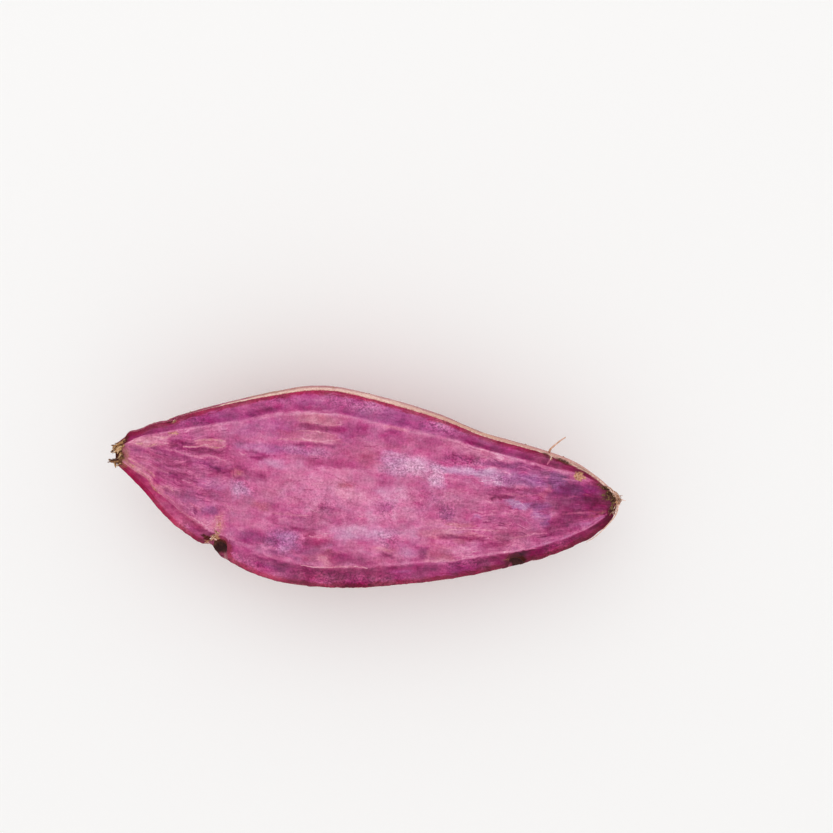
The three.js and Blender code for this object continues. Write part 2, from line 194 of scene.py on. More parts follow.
# the face from stem to root, laid on in this order:
# x, y, half length, half width in mm, tilt in degrees, lightness, warmth (salmon above 0, violet below)
fleshPatches = [
    (-64, 3, 21, 13, 0, 0.49, 0.08), (-72, 11.2, 8, 1.7, 14, 0.6, 0.7),
    (-74.4, 10.1, 3.8, 1.4, 8, 0.7, 0.9), (-80.6, 4.6, 1.3, 3.4, 0, 0.41, 1),
    (-67, 12, 3, 1.2, 10, 0.6, 0.4), (-76, 6.8, 4, 2.2, 0, 0.55, 0.15), (-57, 15, 9, 1.8, 14, 0.55, 0),
    (-59, 11.3, 6, 0.6, 0, 0.4, 0.1), (-55, 9.4, 9, 0.55, 0, 0.38, 0.1),
    (-53.5, 12, 6.5, 1.4, 2, 0.59, 0.8), (-65, 5, 6, 2.8, 0, 0.44, 0.05), (-73, 3.4, 5, 1, -22, 0.56, 0.3),
    (-60, -1.5, 9, 3.4, 0, 0.45, 0.05), (-62, 0, 8, 1.2, 0, 0.41, 0.05),
    (-51, -1.5, 4.5, 2.6, 0, 0.53, -0.35), (-57, -6.8, 3.2, 2.6, 0, 0.47, -0.3),
    (-66.5, -3.8, 3, 1, 0, 0.56, 0.3), (-75.5, 0.7, 5, 1.3, -30, 0.64, 0.9),
    (-67.5, -5.8, 4.4, 0.9, -38, 0.57, 0.9), (-57, -12.2, 6, 1, -32, 0.58, 0.1),
    (-56.5, -14.3, 5.5, 0.9, -31, 0.39, -0.1), (-50.5, 3.7, 5.5, 0.9, -18, 0.44, -0.1),
    (-50, -10.6, 2.8, 1.2, 0, 0.49, -0.5), (-47.2, -14.6, 2, 4.4, 0, 0.6, 0.85),
    (-51.6, -15, 2, 1.6, -30, 0.58, 0.3), (-41.9, 2.8, 2.9, 2.3, 0, 0.41, 0.1),
    (-36, 2.2, 4.5, 1.2, 0, 0.46, 0), (-42, 2.8, 1.7, 1.3, 0, 0.56, 0.9),
    (-40.5, -2.4, 3.8, 2.3, -18, 0.62, -0.75), (-35, 12, 8, 1.4, 0, 0.54, -0.5),
    (-35, 9.9, 7, 0.5, 0, 0.41, 0), (-30, 7, 5, 1.7, 0, 0.59, -0.45), (-36, 18.5, 11, 2.7, 9, 0.54, -0.3),
    (-27, 19.8, 3, 2.2, 0, 0.48, -0.35), (-15.5, 23.2, 7.8, 1.6, 0, 0.59, 0.75),
    (-19.2, 22.4, 2.8, 0.8, 0, 0.65, 0.8), (-16.5, 20, 8.4, 0.95, 0, 0.39, 0.15),
    (-16, 17.2, 7.4, 1.4, 2, 0.58, 0.75), (-26, 17, 3.4, 1.5, 0, 0.5, 0.4),
    (-8, 17.4, 2.4, 0.9, -8, 0.66, -0.1), (-16, 15.7, 9, 0.4, 3, 0.63, 0.6),
    (-17, 14.5, 9, 0.6, 3, 0.42, 0), (-21, 12, 9, 1.7, 0, 0.55, -0.45), (-3, 11.6, 8, 3.6, 0, 0.5, 0.25),
    (1, 11.6, 3.6, 2.6, 0, 0.53, 0.55), (-15, 8.6, 8, 1.1, 0, 0.48, 0.15), (-13, -1, 15, 7, 0, 0.62, 0.05),
    (-8, 6, 8, 1.5, 0, 0.63, 0.1), (-2.5, 0.2, 7, 5, 0, 0.65, 0.2), (-6.2, 1.7, 2.3, 0.9, -10, 0.53, 1),
    (7, 3.6, 4.6, 1.2, 35, 0.55, 0.2), (-12, -7, 2.8, 2, -12, 0.5, -0.05), (-27, -7.3, 4.4, 1.3, 0, 0.5, 0),
    (-33, -7.6, 3, 1.3, 0, 0.55, 0.9), (-24, -9.6, 6.5, 0.5, 0, 0.63, 0.5),
    (-25, -12, 3.6, 1.1, 0, 0.64, 0.2), (-34, -13.5, 4, 1.4, 0, 0.58, 0.05),
    (-16.5, -17.5, 2.3, 4, 0, 0.4, 0.2), (-21, -14.4, 5, 0.8, -4, 0.41, 0.1),
    (-12, -16.5, 4, 0.5, 0, 0.61, 0.2), (-12, -17.9, 4, 1, 0, 0.44, 0.3),
    (-24.4, -18.6, 4.2, 3.7, 0, 0.54, -0.8), (-29.5, -18.5, 2.6, 2.2, 0, 0.44, -0.4),
    (-36, -18.2, 4.5, 2.2, 0, 0.46, -0.2), (-9, -22.9, 5.4, 2.4, 0, 0.43, 0.4),
    (-10.7, -24.2, 2.2, 1.7, 0, 0.61, 0.8), (-25, -23.4, 8, 1, -8, 0.48, -0.3),
    (-16, -23.8, 2, 1.6, 0, 0.43, 0.2), (1, -23.9, 4.6, 0.8, 3, 0.44, 0.1), (16, -21.4, 6, 0.8, 7, 0.48, 0),
    (-11, -20.8, 2.2, 1, 0, 0.46, 0.7), (-5, -20.7, 3.6, 0.6, 0, 0.58, 0.4),
    (-2.5, -22.8, 4.5, 1.3, 0, 0.43, 0.1), (7, -22, 4, 1.2, 0, 0.52, 0.3),
    (1, -14, 10.4, 2.7, 0, 0.67, -0.6), (17.2, -13.2, 2.8, 2.7, 0, 0.64, -0.2),
    (16, -18.4, 3.4, 1.7, 0, 0.57, -0.4), (8, -18.8, 3.5, 0.7, 0, 0.61, 0.8),
    (9.4, -20.4, 2.6, 0.6, 0, 0.41, 0.1), (13, -4, 9.4, 4, 0, 0.62, 0), (9, -5, 3, 3.2, 0, 0.56, -0.1),
    (11, -4, 0.9, 5, 0, 0.67, -0.1), (12, 18, 12, 2.5, -6, 0.51, 0), (1.5, 19, 2, 4.6, 0, 0.57, -0.1),
    (9, 22, 4, 0.9, -8, 0.6, 0.7), (20, 20.4, 6, 0.8, -8, 0.57, 0.1), (-5, 19, 4, 3, 0, 0.5, -0.05),
    (16, 3.4, 7.4, 2.2, 0, 0.57, -0.05), (13, 10, 9, 3.3, -3, 0.68, -0.65),
    (17, 9.6, 3.6, 2.6, 0, 0.71, -0.5), (23.4, 7.6, 2.4, 3.8, 0, 0.71, -0.6),
    (27, 10, 3.4, 1, 0, 0.7, -0.7), (8, 13.5, 3.4, 0.9, 0, 0.67, -0.6), (25, -2, 6, 4.6, 0, 0.55, -0.05),
    (28.4, -5, 2.8, 3, 0, 0.49, -0.35), (25.5, -12, 5.4, 1.5, 0, 0.59, 0.65),
    (27, -18.4, 5, 2.8, 0, 0.55, 0.65), (21.8, -19, 1.8, 2.4, 0, 0.43, 0),
    (27, -21, 5.4, 0.5, 6, 0.63, 0.55), (24, -8, 4.4, 1, 12, 0.61, 0.3), (30, 1, 5.6, 2.8, 0, 0.6, 0),
    (36, 9.8, 10, 1.5, 0, 0.69, -0.9), (44, 7.4, 4.8, 2.1, 0, 0.65, -0.8), (54, 8.8, 8, 2.4, -3, 0.5, -0.9),
    (33, 13.6, 7, 2, -6, 0.46, -0.1), (50, 12.4, 12, 1.1, -4, 0.43, -0.45),
    (46.4, 14.6, 4.6, 0.9, -13, 0.66, 0.2), (38, 16.6, 4, 0.7, -12, 0.55, 0.2),
    (54, 12.6, 8, 1.3, -9, 0.44, -0.3), (64, 12.7, 7, 0.7, -10, 0.56, 0.05),
    (70, 5.2, 8.4, 4, -8, 0.33, -0.5), (66.4, 1.8, 4.4, 3.4, 10, 0.38, -0.15),
    (65, -6.2, 4, 3, 20, 0.4, 0.1), (58.6, 4.8, 3.2, 1.8, 10, 0.46, -0.2),
    (72.4, -5.6, 2.4, 1, 24, 0.46, -0.1), (64, 8.6, 2.4, 3, 0, 0.43, -1),
    (79, 6.6, 4.4, 3.4, -18, 0.3, 0.5), (76, 4.2, 3.4, 1.2, 0, 0.32, 0.4),
    (60.5, 4.4, 3.4, 1.5, 40, 0.47, 0.5), (49.5, 4.4, 7, 1.4, 0, 0.43, 0),
    (46.5, 1.9, 4, 0.6, 14, 0.38, 0.1), (52, 0.2, 5.8, 1, 0, 0.62, -1.3),
    (59.5, 0.2, 3, 1.5, 0, 0.47, -0.7), (58.5, -2.7, 2.4, 1.9, 0, 0.53, -0.8),
    (61.2, -4.2, 1.6, 2.6, 0, 0.46, -0.8), (42, -1.6, 9, 1.4, 0, 0.52, 0.15), (36, -3.5, 6, 3, 0, 0.53, 0),
    (38, -4.9, 2, 1, 0, 0.56, -0.8), (48, -5.6, 7, 1.8, 0, 0.5, 0), (33, -8.3, 4.4, 0.8, 0, 0.57, 1),
    (34, -11.6, 7, 1, 0, 0.57, 0.75), (35, -12.8, 8, 0.6, 0, 0.41, 0.5), (52, -9.6, 8, 1.3, 4, 0.46, 0.3),
    (45.5, -13, 2.2, 1.8, 0, 0.49, 0.8), (33.5, -14, 2.2, 1.1, 0, 0.57, 0.6),
    (40, -16, 9, 1.3, 10, 0.57, 0.05), (36.5, -17.6, 4.4, 1.7, 8, 0.61, -0.05),
    (52, -14.3, 6, 0.8, 12, 0.54, 0), (62, -11.8, 4.6, 0.7, 22, 0.55, 0), (70.5, -8, 5.4, 0.7, 28, 0.53, 0),
    (76.6, -4.3, 4.6, 1, 38, 0.57, -0.35), (70, -2.6, 6, 2.4, 15, 0.38, 0.1),
    (74, 2, 5, 2.6, 12, 0.32, 0.15), (79, 2.8, 3, 1.6, 0, 0.27, 0.5), (77, -1.1, 3.4, 0.6, 12, 0.48, 1),
    (80.2, 0.2, 1.8, 0.8, 24, 0.32, 0.9), (82.2, -0.6, 3.4, 1, 80, 0.27, 1),
    (66, -7.6, 5, 0.9, 24, 0.44, 0.1), (9.5, -0.6, 5.2, 2.8, 0, 0.67, -0.2),
    (4, -8, 3.6, 2.2, 0, 0.65, -0.2), (-25, -13, 3.4, 1.6, 0, 0.59, -0.05),
    (45, -13.4, 4.4, 1.6, 10, 0.46, 0.2), (52, -9.8, 5, 1.5, 6, 0.47, 0.1),
    (-18, -21.6, 4, 1.2, 0, 0.45, -0.1), (0.5, -22, 4, 1.4, 0, 0.45, 0.1), (-11, 9, 3.4, 1.8, 0, 0.54, 0.1),
    (81.4, 3.2, 2.6, 1.9, 0, 0.26, 0.6), (78.6, 0.4, 2.6, 1.1, 20, 0.33, 0.3),
    (75.6, 7.3, 2.6, 1.4, -18, 0.36, -0.5),
]

# patches where the cells stand out as pale and dark specks, the pale ones partly painted glints of the damp
# face: x, y, half length, half width, tilt, strength
speckledAndGlintingPatches = [
    (13, 10, 11, 4.6, -3, 0.75), (24, 8, 4, 5, 0, 0.95), (45, 8, 6, 3, 0, 0.8), (-40, -2, 5, 3.6, -15, 0.8),
    (-26, -18.5, 8, 5, 0, 0.8), (9, -5, 5, 5, 0, 0.7), (10, -14.5, 4.4, 3.4, 0, 0.9),
    (-4, 29, 12, 3, -4, 0.8), (24, 23.6, 7, 2.4, -10, 1), (0, -29.5, 26, 3.4, 2, 0.8),
    (-57, 19, 6, 2, 16, 0.7), (-30, 28, 8, 3, 14, 0.5), (-20, 12, 12, 2.4, 0, 0.6), (33, 13, 9, 3, -8, 0.8),
    (-36, -27, 9, 2.4, -12, 0.7), (-12, -6, 5, 4, 0, 0.6), (-58, -16.5, 3, 2, -30, 0.9),
    (36, -21.5, 10, 2, 12, 0.8), (66, -12.6, 8, 2.4, 24, 0.8), (28, -4, 4, 5, 0, 0.7),
    (-14, -5, 24, 12, 0, 0.3), (20, -2, 14, 8, 0, 0.35),
]

# how many vessel strands show along the root: x in mm, share
strandiness = [
    (-84, 0.7), (-70, 0.85), (-52, 0.9), (-42, 0.25), (22, 0.25), (38, 0.8), (60, 0.8), (68, 0.45),
    (84, 0.4),
]

# wounds and woody marks: x, y, half length, half width, tilt, how dark (healed), how straw-like (dry)
woodyMarks = [
    (-45.9, -21.6, 2.1, 1.9, 0, 1, 0), (-45.5, -21.4, 3.2, 2.8, 0, 0.42, 0),
    (-51, -19.6, 2.1, 1, -24, 0.74, 0), (-48, -19.3, 1.5, 1.1, 20, 0, 0.8),
    (-50.3, -21.2, 1.4, 0.4, 0, 0, 0.7), (-47, -14.4, 1.2, 2.4, 0, 0, 0.46),
    (53.8, -18.4, 2, 1.1, 14, 0.95, 0), (52.4, -18, 3.8, 1.8, 13, 0.4, 0),
    (49.6, -18.6, 2.6, 0.5, 10, 0.2, 0.4), (-66.2, 17.9, 1.8, 0.5, 14, 0.5, 0.2),
    (-64.6, 18.4, 0.7, 0.9, 0, 0, 0.55), (61.2, 16.9, 0.9, 1.2, 0, 0.2, 0.5),
    (65.2, 15.7, 3.6, 0.8, -20, 0.65, 0), (59.2, 17.7, 1.4, 0.6, -10, 0.6, 0),
    (70.7, 11.3, 1.6, 1.5, 0, 0, 1), (72.2, 10.9, 1.4, 0.5, -10, 0, 0.7),
    (67.2, 11.6, 1.6, 0.4, -4, 0, 0.25), (80.9, 8.1, 2.7, 0.8, 0, 0.85, 0.1),
    (80.4, 5.6, 3.2, 2.8, -20, 0.4, 0.12), (78.2, 9, 1.6, 0.7, -26, 0.5, 0.2),
    (81.7, 6.3, 1.7, 0.9, 0, 0.9, 0.4), (80, 5.6, 1.6, 0.4, 4, 0.65, 0.3),
    (83, 4.5, 0.9, 1.9, 10, 0.85, 0.3), (81, 4.9, 2.2, 1.1, 0, 0.62, 0.15),
    (82.8, 1.6, 2.2, 0.9, 74, 0.7, 0.1), (72, 14, 6, 0.6, -24, 0.45, 0), (84.6, 4.6, 0.9, 3.4, 8, 0, 1),
    (83.6, 7.6, 1.6, 0.6, -35, 0, 0.8), (-42.1, 2.8, 0.9, 0.7, 0, 0, 0.35),
    (-82.4, 6.4, 1.5, 3.4, 0, 0.8, 0.6), (-80.3, 11, 1.3, 2.2, -25, 0.55, 0.2),
    (-81.7, 3, 1.2, 0.6, -35, 0.8, 0), (-80.2, 5, 2.1, 4.2, 0, 0.36, 0.5),
    (-64.4, 14.3, 2, 0.8, 10, 0, 0.62), (-71.6, 11.9, 3, 0.5, 8, 0, 0.4), (-78, 2.4, 2.6, 0.8, -30, 0, 0.5),
    (-69.5, -4.6, 2.2, 0.6, -48, 0, 0.5), (-66, -7, 1.6, 0.5, -30, 0, 0.45),
    (-75.4, 9.9, 1.8, 0.6, 0, 0, 0.45), (-50.2, -20.8, 1.6, 0.4, 0, 0, 0.7),
    (-33.4, -7.6, 1.4, 0.6, 0, 0, 0.45), (74, 5.4, 2, 0.3, 0, 0, 0.2), (80, 0, 1.4, 0.5, 30, 0.2, 0.35),
    (-60.4, -11.6, 1.6, 0.4, -32, 0, 0.3),
]


# vessel strands that the knife laid bare: points in mm on the face, half width in mm, lightness, warmth and,
# where the strand is dry, how straw-like it is
paleStrands = [
    ([(-66.8, 8.8), (-62, 8.2), (-57.8, 7.2), (-55, 7.2), (-52.3, 7.9), (-49.5, 7.3), (-46.6, 6.5)],
     0.5, 0.63, 0.25),
    ([(-57.4, 12.4), (-54, 12.9), (-50.6, 13.3), (-47, 13)], 0.42, 0.67, 0.8, 0.3),
    ([(-61, 10), (-57.4, 10.4), (-53.7, 11.1), (-50.2, 10.5), (-47, 11.4)], 0.4, 0.67, 0.7, 0.3),
    ([(-71, 2.8), (-68.5, 2.2), (-67, 1.4), (-65.2, 0.9)], 0.4, 0.58, 0.4),
    ([(-68.4, -4.3), (-67, -4), (-65.1, -3.7), (-63, -5.2)], 0.42, 0.62, 0.8),
    ([(-60.6, -1.1), (-58, -1.8), (-55.6, -2.8), (-53, -3.8)], 0.42, 0.57, 0.1),
    ([(-46.8, -7.2), (-45, -8.2), (-43.4, -9.8)], 0.35, 0.6, 0.2),
    ([(-77.6, 11), (-74, 11.9), (-70, 12), (-67, 12.6), (-63.6, 14)], 0.55, 0.67, 0.7, 0.22),
    ([(-75, 9.4), (-72.4, 9.3), (-69.4, 10.2), (-66.6, 10.6)], 0.4, 0.68, 0.6, 0.3),
    ([(-80.4, 3.4), (-77.6, 1.8), (-74.8, 0.4), (-72.2, -1), (-70.6, -3), (-69, -4.8), (-67, -6.6)],
     0.9, 0.63, 1, 0.3),
    ([(-79, 4.8), (-76, 3.2), (-73.4, 1.8), (-71, 0.4), (-69.6, -1)], 0.55, 0.6, 0.8, 0.2),
    ([(-67.8, -6.1), (-65.1, -7.5), (-61, -10.9), (-58, -12.8), (-54, -15)], 0.8, 0.58, 0.5, 0.12),
    ([(-57.6, -8.6), (-55.6, -9.4), (-53.4, -11)], 0.35, 0.58, 0.3),
    ([(-48.4, -12.2), (-47.8, -14.4), (-48.2, -16.6), (-47.8, -18.6)], 0.4, 0.64, 0.95, 0.3),
    ([(-46.6, -12.8), (-46.2, -15), (-46.6, -17), (-46.8, -18.6)], 0.35, 0.62, 0.9, 0.3),
    ([(-42.6, 9.8), (-41, 9.2), (-39.8, 9.6)], 0.3, 0.64, 0.2),
    ([(-30, 15), (-26, 15.6), (-21, 15.7), (-16, 15.5), (-12, 16.2), (-8.4, 17)], 0.35, 0.65, 0.7),
    ([(-24, 18.4), (-20, 18.8), (-15, 18.6), (-10.4, 18)], 0.3, 0.6, 0.6),
    ([(-23, 21.8), (-18, 21.6), (-13, 21.3), (-9, 21.8)], 0.32, 0.62, 0.7),
    ([(-29, -9.8), (-25, -9.5), (-21, -9.7), (-17.6, -9.4)], 0.3, 0.64, 0.4),
    ([(-27.5, -11.6), (-25, -11.2), (-22.4, -11.3)], 0.3, 0.66, 0.1),
    ([(-17, -16.2), (-13, -16.5), (-9, -16.4)], 0.32, 0.62, 0.3),
    ([(-7.4, 3.6), (-5.8, 2.8), (-4, 2.6), (-1.6, 1.8)], 0.3, 0.6, 0.4),
    ([(-19, -26.2), (-14, -26.6), (-9, -26.2), (-4, -25.6), (1, -25.2), (3.4, -25.7)], 0.35, 0.66, 0.8),
    ([(28, -8.6), (31.5, -8.2), (35, -8.6), (38.6, -8.2)], 0.3, 0.6, 0.95),
    ([(27, -10.5), (32, -10), (36, -9.6), (41, -9.4), (46, -9.2)], 0.32, 0.64, 0.5),
    ([(24, -21.4), (29, -20.6), (33, -20.2)], 0.35, 0.64, 0.5),
    ([(45, 3.2), (49, 3.4), (53, 3.1), (57, 3.8)], 0.28, 0.53, 0.3),
    ([(50, -11.4), (54, -10.4), (58, -9.2), (62, -8.6)], 0.32, 0.58, 0.4),
    ([(66, 3.6), (68, 3.9), (69.8, 4.4), (72, 4.3)], 0.3, 0.44, 0),
    ([(66.6, -1.9), (70, -1.2), (73.6, -0.8), (75.6, -0.2)], 0.35, 0.5, 0.4),
    ([(60, 14.2), (60.6, 15.4), (61.1, 16.6)], 0.4, 0.5, 0.7),
    ([(65.3, 12), (67.4, 12), (69.4, 11.8)], 0.35, 0.6, -0.2),
    ([(65.4, 9.9), (67.6, 9.8), (69, 9.9), (70.6, 9.8)], 0.38, 0.6, -0.2),
    ([(55, -14.4), (60, -12.8), (65, -10.9), (70, -8.6), (75, -5.4), (79, -2.4)], 0.45, 0.56, -0.2),
    ([(75, 0.2), (78, -0.2), (80.6, 0.4)], 0.32, 0.42, 0.9),
]
darkStrands = [
    ([(-55.1, 4.9), (-52.6, 4.7), (-50.8, 4.2), (-46.5, 2.4)], 0.5, 0.35, -0.2),
    ([(-65.8, 10.2), (-63.4, 10.3), (-60.7, 9.3)], 0.5, 0.37, 0.4),
    ([(-62.6, 11.9), (-60, 11), (-55.9, 10.9)], 0.5, 0.36, 0.3),
    ([(-60, 8.9), (-56, 8.9), (-52, 9.2)], 0.45, 0.4, 0.3),
    ([(-38.7, 8.6), (-35.4, 8.3), (-32.1, 9.2)], 0.4, 0.38, 0),
    ([(-68.3, 0.4), (-65, 0.1), (-62, 0.1)], 0.5, 0.4, 0),
    ([(-55.6, -9.6), (-55.2, -12.4)], 0.5, 0.4, -0.2),
    ([(-71.6, 9), (-68, 8.2), (-65, 7.4)], 0.45, 0.42, 0),
    ([(-78, 7.6), (-75, 7.7), (-72, 7.4)], 0.4, 0.44, -0.1),
    ([(-24, 14.4), (-18, 14.6), (-11, 14.2)], 0.5, 0.4, 0),
    ([(-24, 20.2), (-17, 20.1), (-9.6, 19.8)], 0.6, 0.39, 0.1),
    ([(-46.3, 13.6), (-46.2, 11), (-46.5, 8)], 0.4, 0.45, 0),
    ([(40, 3), (45, 2.2), (50, 2.3)], 0.4, 0.38, 0.1),
    ([(44, 5), (49, 4.9), (54, 5.4), (58, 6)], 0.4, 0.4, 0),
    ([(26, -13.6), (32, -12.6), (39, -12.2)], 0.4, 0.4, 0.3),
    ([(40, -6.8), (46, -7.2), (52, -7)], 0.4, 0.42, 0),
]


def crowded(steps, amount):
    # steps from 0 to 1 that lie closer together at both ends
    t = np.linspace(0, 1, steps + 1)
    return t - amount * np.sin(2 * math.pi * t)


def blurred(field, steps, axis):
    reach = max(1, int(3 * steps))
    weights = np.exp(-0.5 * (np.arange(-reach, reach + 1) / steps) ** 2)
    weights /= weights.sum()
    padding = [(reach, reach) if a == axis else (0, 0) for a in range(field.ndim)]
    padded = np.pad(field, padding, mode="reflect", reflect_type="odd")
    return np.apply_along_axis(lambda row: np.convolve(row, weights, mode="valid"), axis, padded)


def readSolid():
    source = bmesh.new()
    source.from_mesh(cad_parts["sweet_potato_half"].data)
    bmesh.ops.remove_doubles(source, verts=source.verts, dist=1e-7)
    tree = BVHTree.FromBMesh(source)
    points = np.array([v.co for v in source.verts])
    source.free()
    return tree, points


def readRadii(tree, xs, middle, angles):
    radii = np.zeros((len(xs), len(angles)))
    start = faceHeight - half["skim"] * mm
    for i, x in enumerate(xs):
        for j, angle in enumerate(angles):
            direction = Vector((0, math.cos(angle), -math.sin(angle)))
            radii[i, j] = tree.ray_cast(Vector((x, middle[i], start)), direction)[3]
    return radii


def withoutFacets(radii):
    # smooths the solid's flat facets away, and keeps its hollows
    soft = blurred(blurred(radii, half["facetBlur"], 0), half["facetBlur"], 1)
    for edge in (0, -1):  # the rim is only smoothed along its length, and less
        soft[:, edge] = blurred(radii[:, edge], half["facetBlur"] / 3, 0)
    depth = np.abs(radii - soft) / mm
    keep = smoothStep(half["keepDepth"] / 2, half["keepDepth"], depth)
    keep = np.clip(2 * blurred(blurred(keep, 1, 0), 1, 1), 0, 1)
    return soft + (radii - soft) * keep


def skinRelief(points, share, turn):
    # mm that the skin stands out or in: broad lumps, lengthwise furrows that deepen towards the
    # ends, and short cracks; it is smooth at the rim
    relief = np.zeros(share.shape)
    ends = 1 + 2.2 * np.clip(np.abs(share - 0.5) * 2 - 0.45, 0, 1)
    for i in range(share.shape[0]):
        for j in range(share.shape[1]):
            p = Vector(points[i, j] / mm)
            furrow = noise.fractal(Vector((p.x / 26, turn[i, j] * 9, 3.7)), 0.8, 2, 3)
            crack = noise.fractal(Vector((p.x / 2.2, turn[i, j] * 16, 8.1)), 0.9, 2.1, 3)
            relief[i, j] = half["lumps"] * noise.fractal(p / 17, 0.9, 2, 3)
            relief[i, j] += half["furrows"] * ends[i, j] * furrow + half["wrinkles"] * crack
    return relief * np.sin(np.pi * turn) ** 0.35


def scarField(points, centres):
    # how corky the skin is near the scars, and how many mm it swells or sinks there
    marks = np.zeros(points.shape[:-1])
    swells = np.zeros(points.shape[:-1])
    for centre, size in centres:
        gap = np.linalg.norm((points - centre) / mm, axis=-1) / size
        marks += 0.95 * np.exp(-(gap / 0.78) ** 2)
        swells += half["scarRim"] * np.exp(-((gap - 1.25) / 0.4) ** 2)
        swells -= half["scarPit"] * np.exp(-(gap / 0.55) ** 2)
    return np.clip(marks, 0, 1), swells


def gapToRim(points, rim):
    # mm from each point to the nearest place on the rim
    gaps = np.zeros(len(points))
    steps = np.roll(rim, -1, axis=0) - rim
    lengths = np.maximum((steps ** 2).sum(1), 1e-12)
    for first in range(0, len(points), 2000):
        part = points[first:first + 2000, None, :]
        t = np.clip(((part - rim) * steps).sum(2) / lengths, 0, 1)
        nearest = rim + t[..., None] * steps
        gaps[first:first + 2000] = np.sqrt(((part - nearest) ** 2).sum(2).min(1))
    return gaps


def patchShare(x, y, patch, inner, outer):
    # how much of a patch covers each point; a patch is a rounded box that fades at its edge
    squareness = 2.6
    turn = math.radians(patch[4])
    u = ((x - patch[0]) * math.cos(turn) + (y - patch[1]) * math.sin(turn)) / patch[2]
    v = ((y - patch[1]) * math.cos(turn) - (x - patch[0]) * math.sin(turn)) / patch[3]
    gap = (np.abs(u) ** squareness + np.abs(v) ** squareness) ** (1 / squareness)
    return 1 - smoothStep(inner, outer, gap)


def smoothPath(points, steps):
    # a Catmull-Rom curve through the points
    ps = [points[0] * 2 - points[1]] + points + [points[-1] * 2 - points[-2]]
    out = []
    for k in range(1, len(ps) - 2):
        a, b, c, d = ps[k - 1:k + 3]
        for step in range(steps):
            t = step / steps
            out.append(0.5 * (2 * b + (c - a) * t + (2 * a - 5 * b + 4 * c - d) * t * t
                              + (3 * b - a - 3 * c + d) * t ** 3))
    return out + [points[-1]]


strandForm = {
    "bend": 1.4,  # mm, the size of its small bends
    "wander": 0.3,  # mm that it strays to its sides
    "unevenness": 0.5,  # share by which its width varies
    "proud": 0.13,  # mm that a bared strand stands above the face
}


def strandPath(strand, seed):
    # the wandering middle line of a strand and its half width, which tapers to both ends
    path = smoothPath([Vector((x, y, 0)) for x, y in strand[0]], 9)
    widths = []
    for k, p in enumerate(path):
        wobble = noise.noise(Vector((p.x / strandForm["bend"], p.y / strandForm["bend"], seed)))
        p.y += strandForm["wander"] * wobble
        taper = math.sin(math.pi * (0.07 + 0.86 * k / (len(path) - 1)))
        widths.append(strand[1] * (0.3 + 0.7 * taper) * (1 + strandForm["unevenness"] * wobble))
    return path, widths


def strandShare(points, strand, seed):
    path, widths = strandPath(strand, seed)
    share = np.zeros(len(points))
    for p, width in zip(path, widths):
        near = np.abs(points - (p.x, p.y)).max(1) < 2 * width
        gap = np.linalg.norm(points[near] - (p.x, p.y), axis=1) / width
        share[near] = np.maximum(share[near], 1 - smoothStep(0.5, 1.8, gap))
    return share


def frayed(points, strays):
    # moves each point by a few sizes of wander, further along the root than across it;
    # each has its size and reach in mm and a seed
    x = points[:, 0].copy()
    y = points[:, 1].copy()
    for k, (px, py) in enumerate(points):
        for size, reach, seed in strays:
            at = Vector((px / size, py / size * 1.8, seed))
            x[k] += reach * noise.noise(at)
            y[k] += reach * 0.42 * noise.noise(at + Vector((31, 7, 0)))
    return x, y


def paintFlesh(points, farSide):
    # the painted colours and marks of the cut face, point by point
    x, y = frayed(points, ((5, 2.6, 2.0), (1.5, 1.3, 9.0), (0.7, 0.7, 14.0)))
    tone = np.full(len(points), half["plainTone"])
    warmth = np.zeros(len(points))
    cortexTone = np.zeros(len(points))
    cortexWarmth = np.zeros(len(points))
    for side, table in ((farSide, cortexFar), (~farSide, cortexNear)):
        places, tones, warmths = zip(*table)
        cortexTone[side] = np.interp(x[side], places, tones)
        cortexWarmth[side] = np.interp(x[side], places, warmths)
    for patch in fleshPatches:
        share = patchShare(x, y, patch, 0.5, 1.42)
        tone += (patch[5] - tone) * share
        warmth += (patch[6] - warmth) * share
    for patch in cortexPatches:
        share = patchShare(x, y, patch, 0.4, 1.4)
        cortexTone += (patch[5] - cortexTone) * share
        cortexWarmth += (patch[6] - cortexWarmth) * share
    speckleAndGlint = np.full(len(points), half["plainSpeckleAndGlint"])
    for patch in speckledAndGlintingPatches:
        speckleAndGlint = np.maximum(speckleAndGlint, patch[5] * patchShare(x, y, patch, 0.3, 1.3))
    x, y = frayed(points, ((1.2, 0.7, 5.0), (0.5, 0.4, 3.0)))
    bark = np.zeros(len(points))
    straw = np.zeros(len(points))
    for mark in woodyMarks:
        share = patchShare(x, y, mark, 0.4, 1.5)
        bark = np.maximum(bark, mark[5] * share)
        straw = np.maximum(straw, mark[6] * share)
    for k, strand in enumerate(paleStrands + darkStrands):
        share = strandShare(points, strand, k) * (0.8 if k < len(paleStrands) else 0.9)
        tone += (strand[2] - tone) * share
        warmth += (strand[3] - warmth) * share
        straw = np.maximum(straw, share * sum(strand[4:]))
    strandy = np.interp(points[:, 0], *zip(*strandiness))
    return {"tone": tone, "warmth": warmth, "cortexTone": cortexTone, "cortexWarmth": cortexWarmth,
            "speckleAndGlint": speckleAndGlint, "bark": bark, "straw": straw, "strandy": strandy}


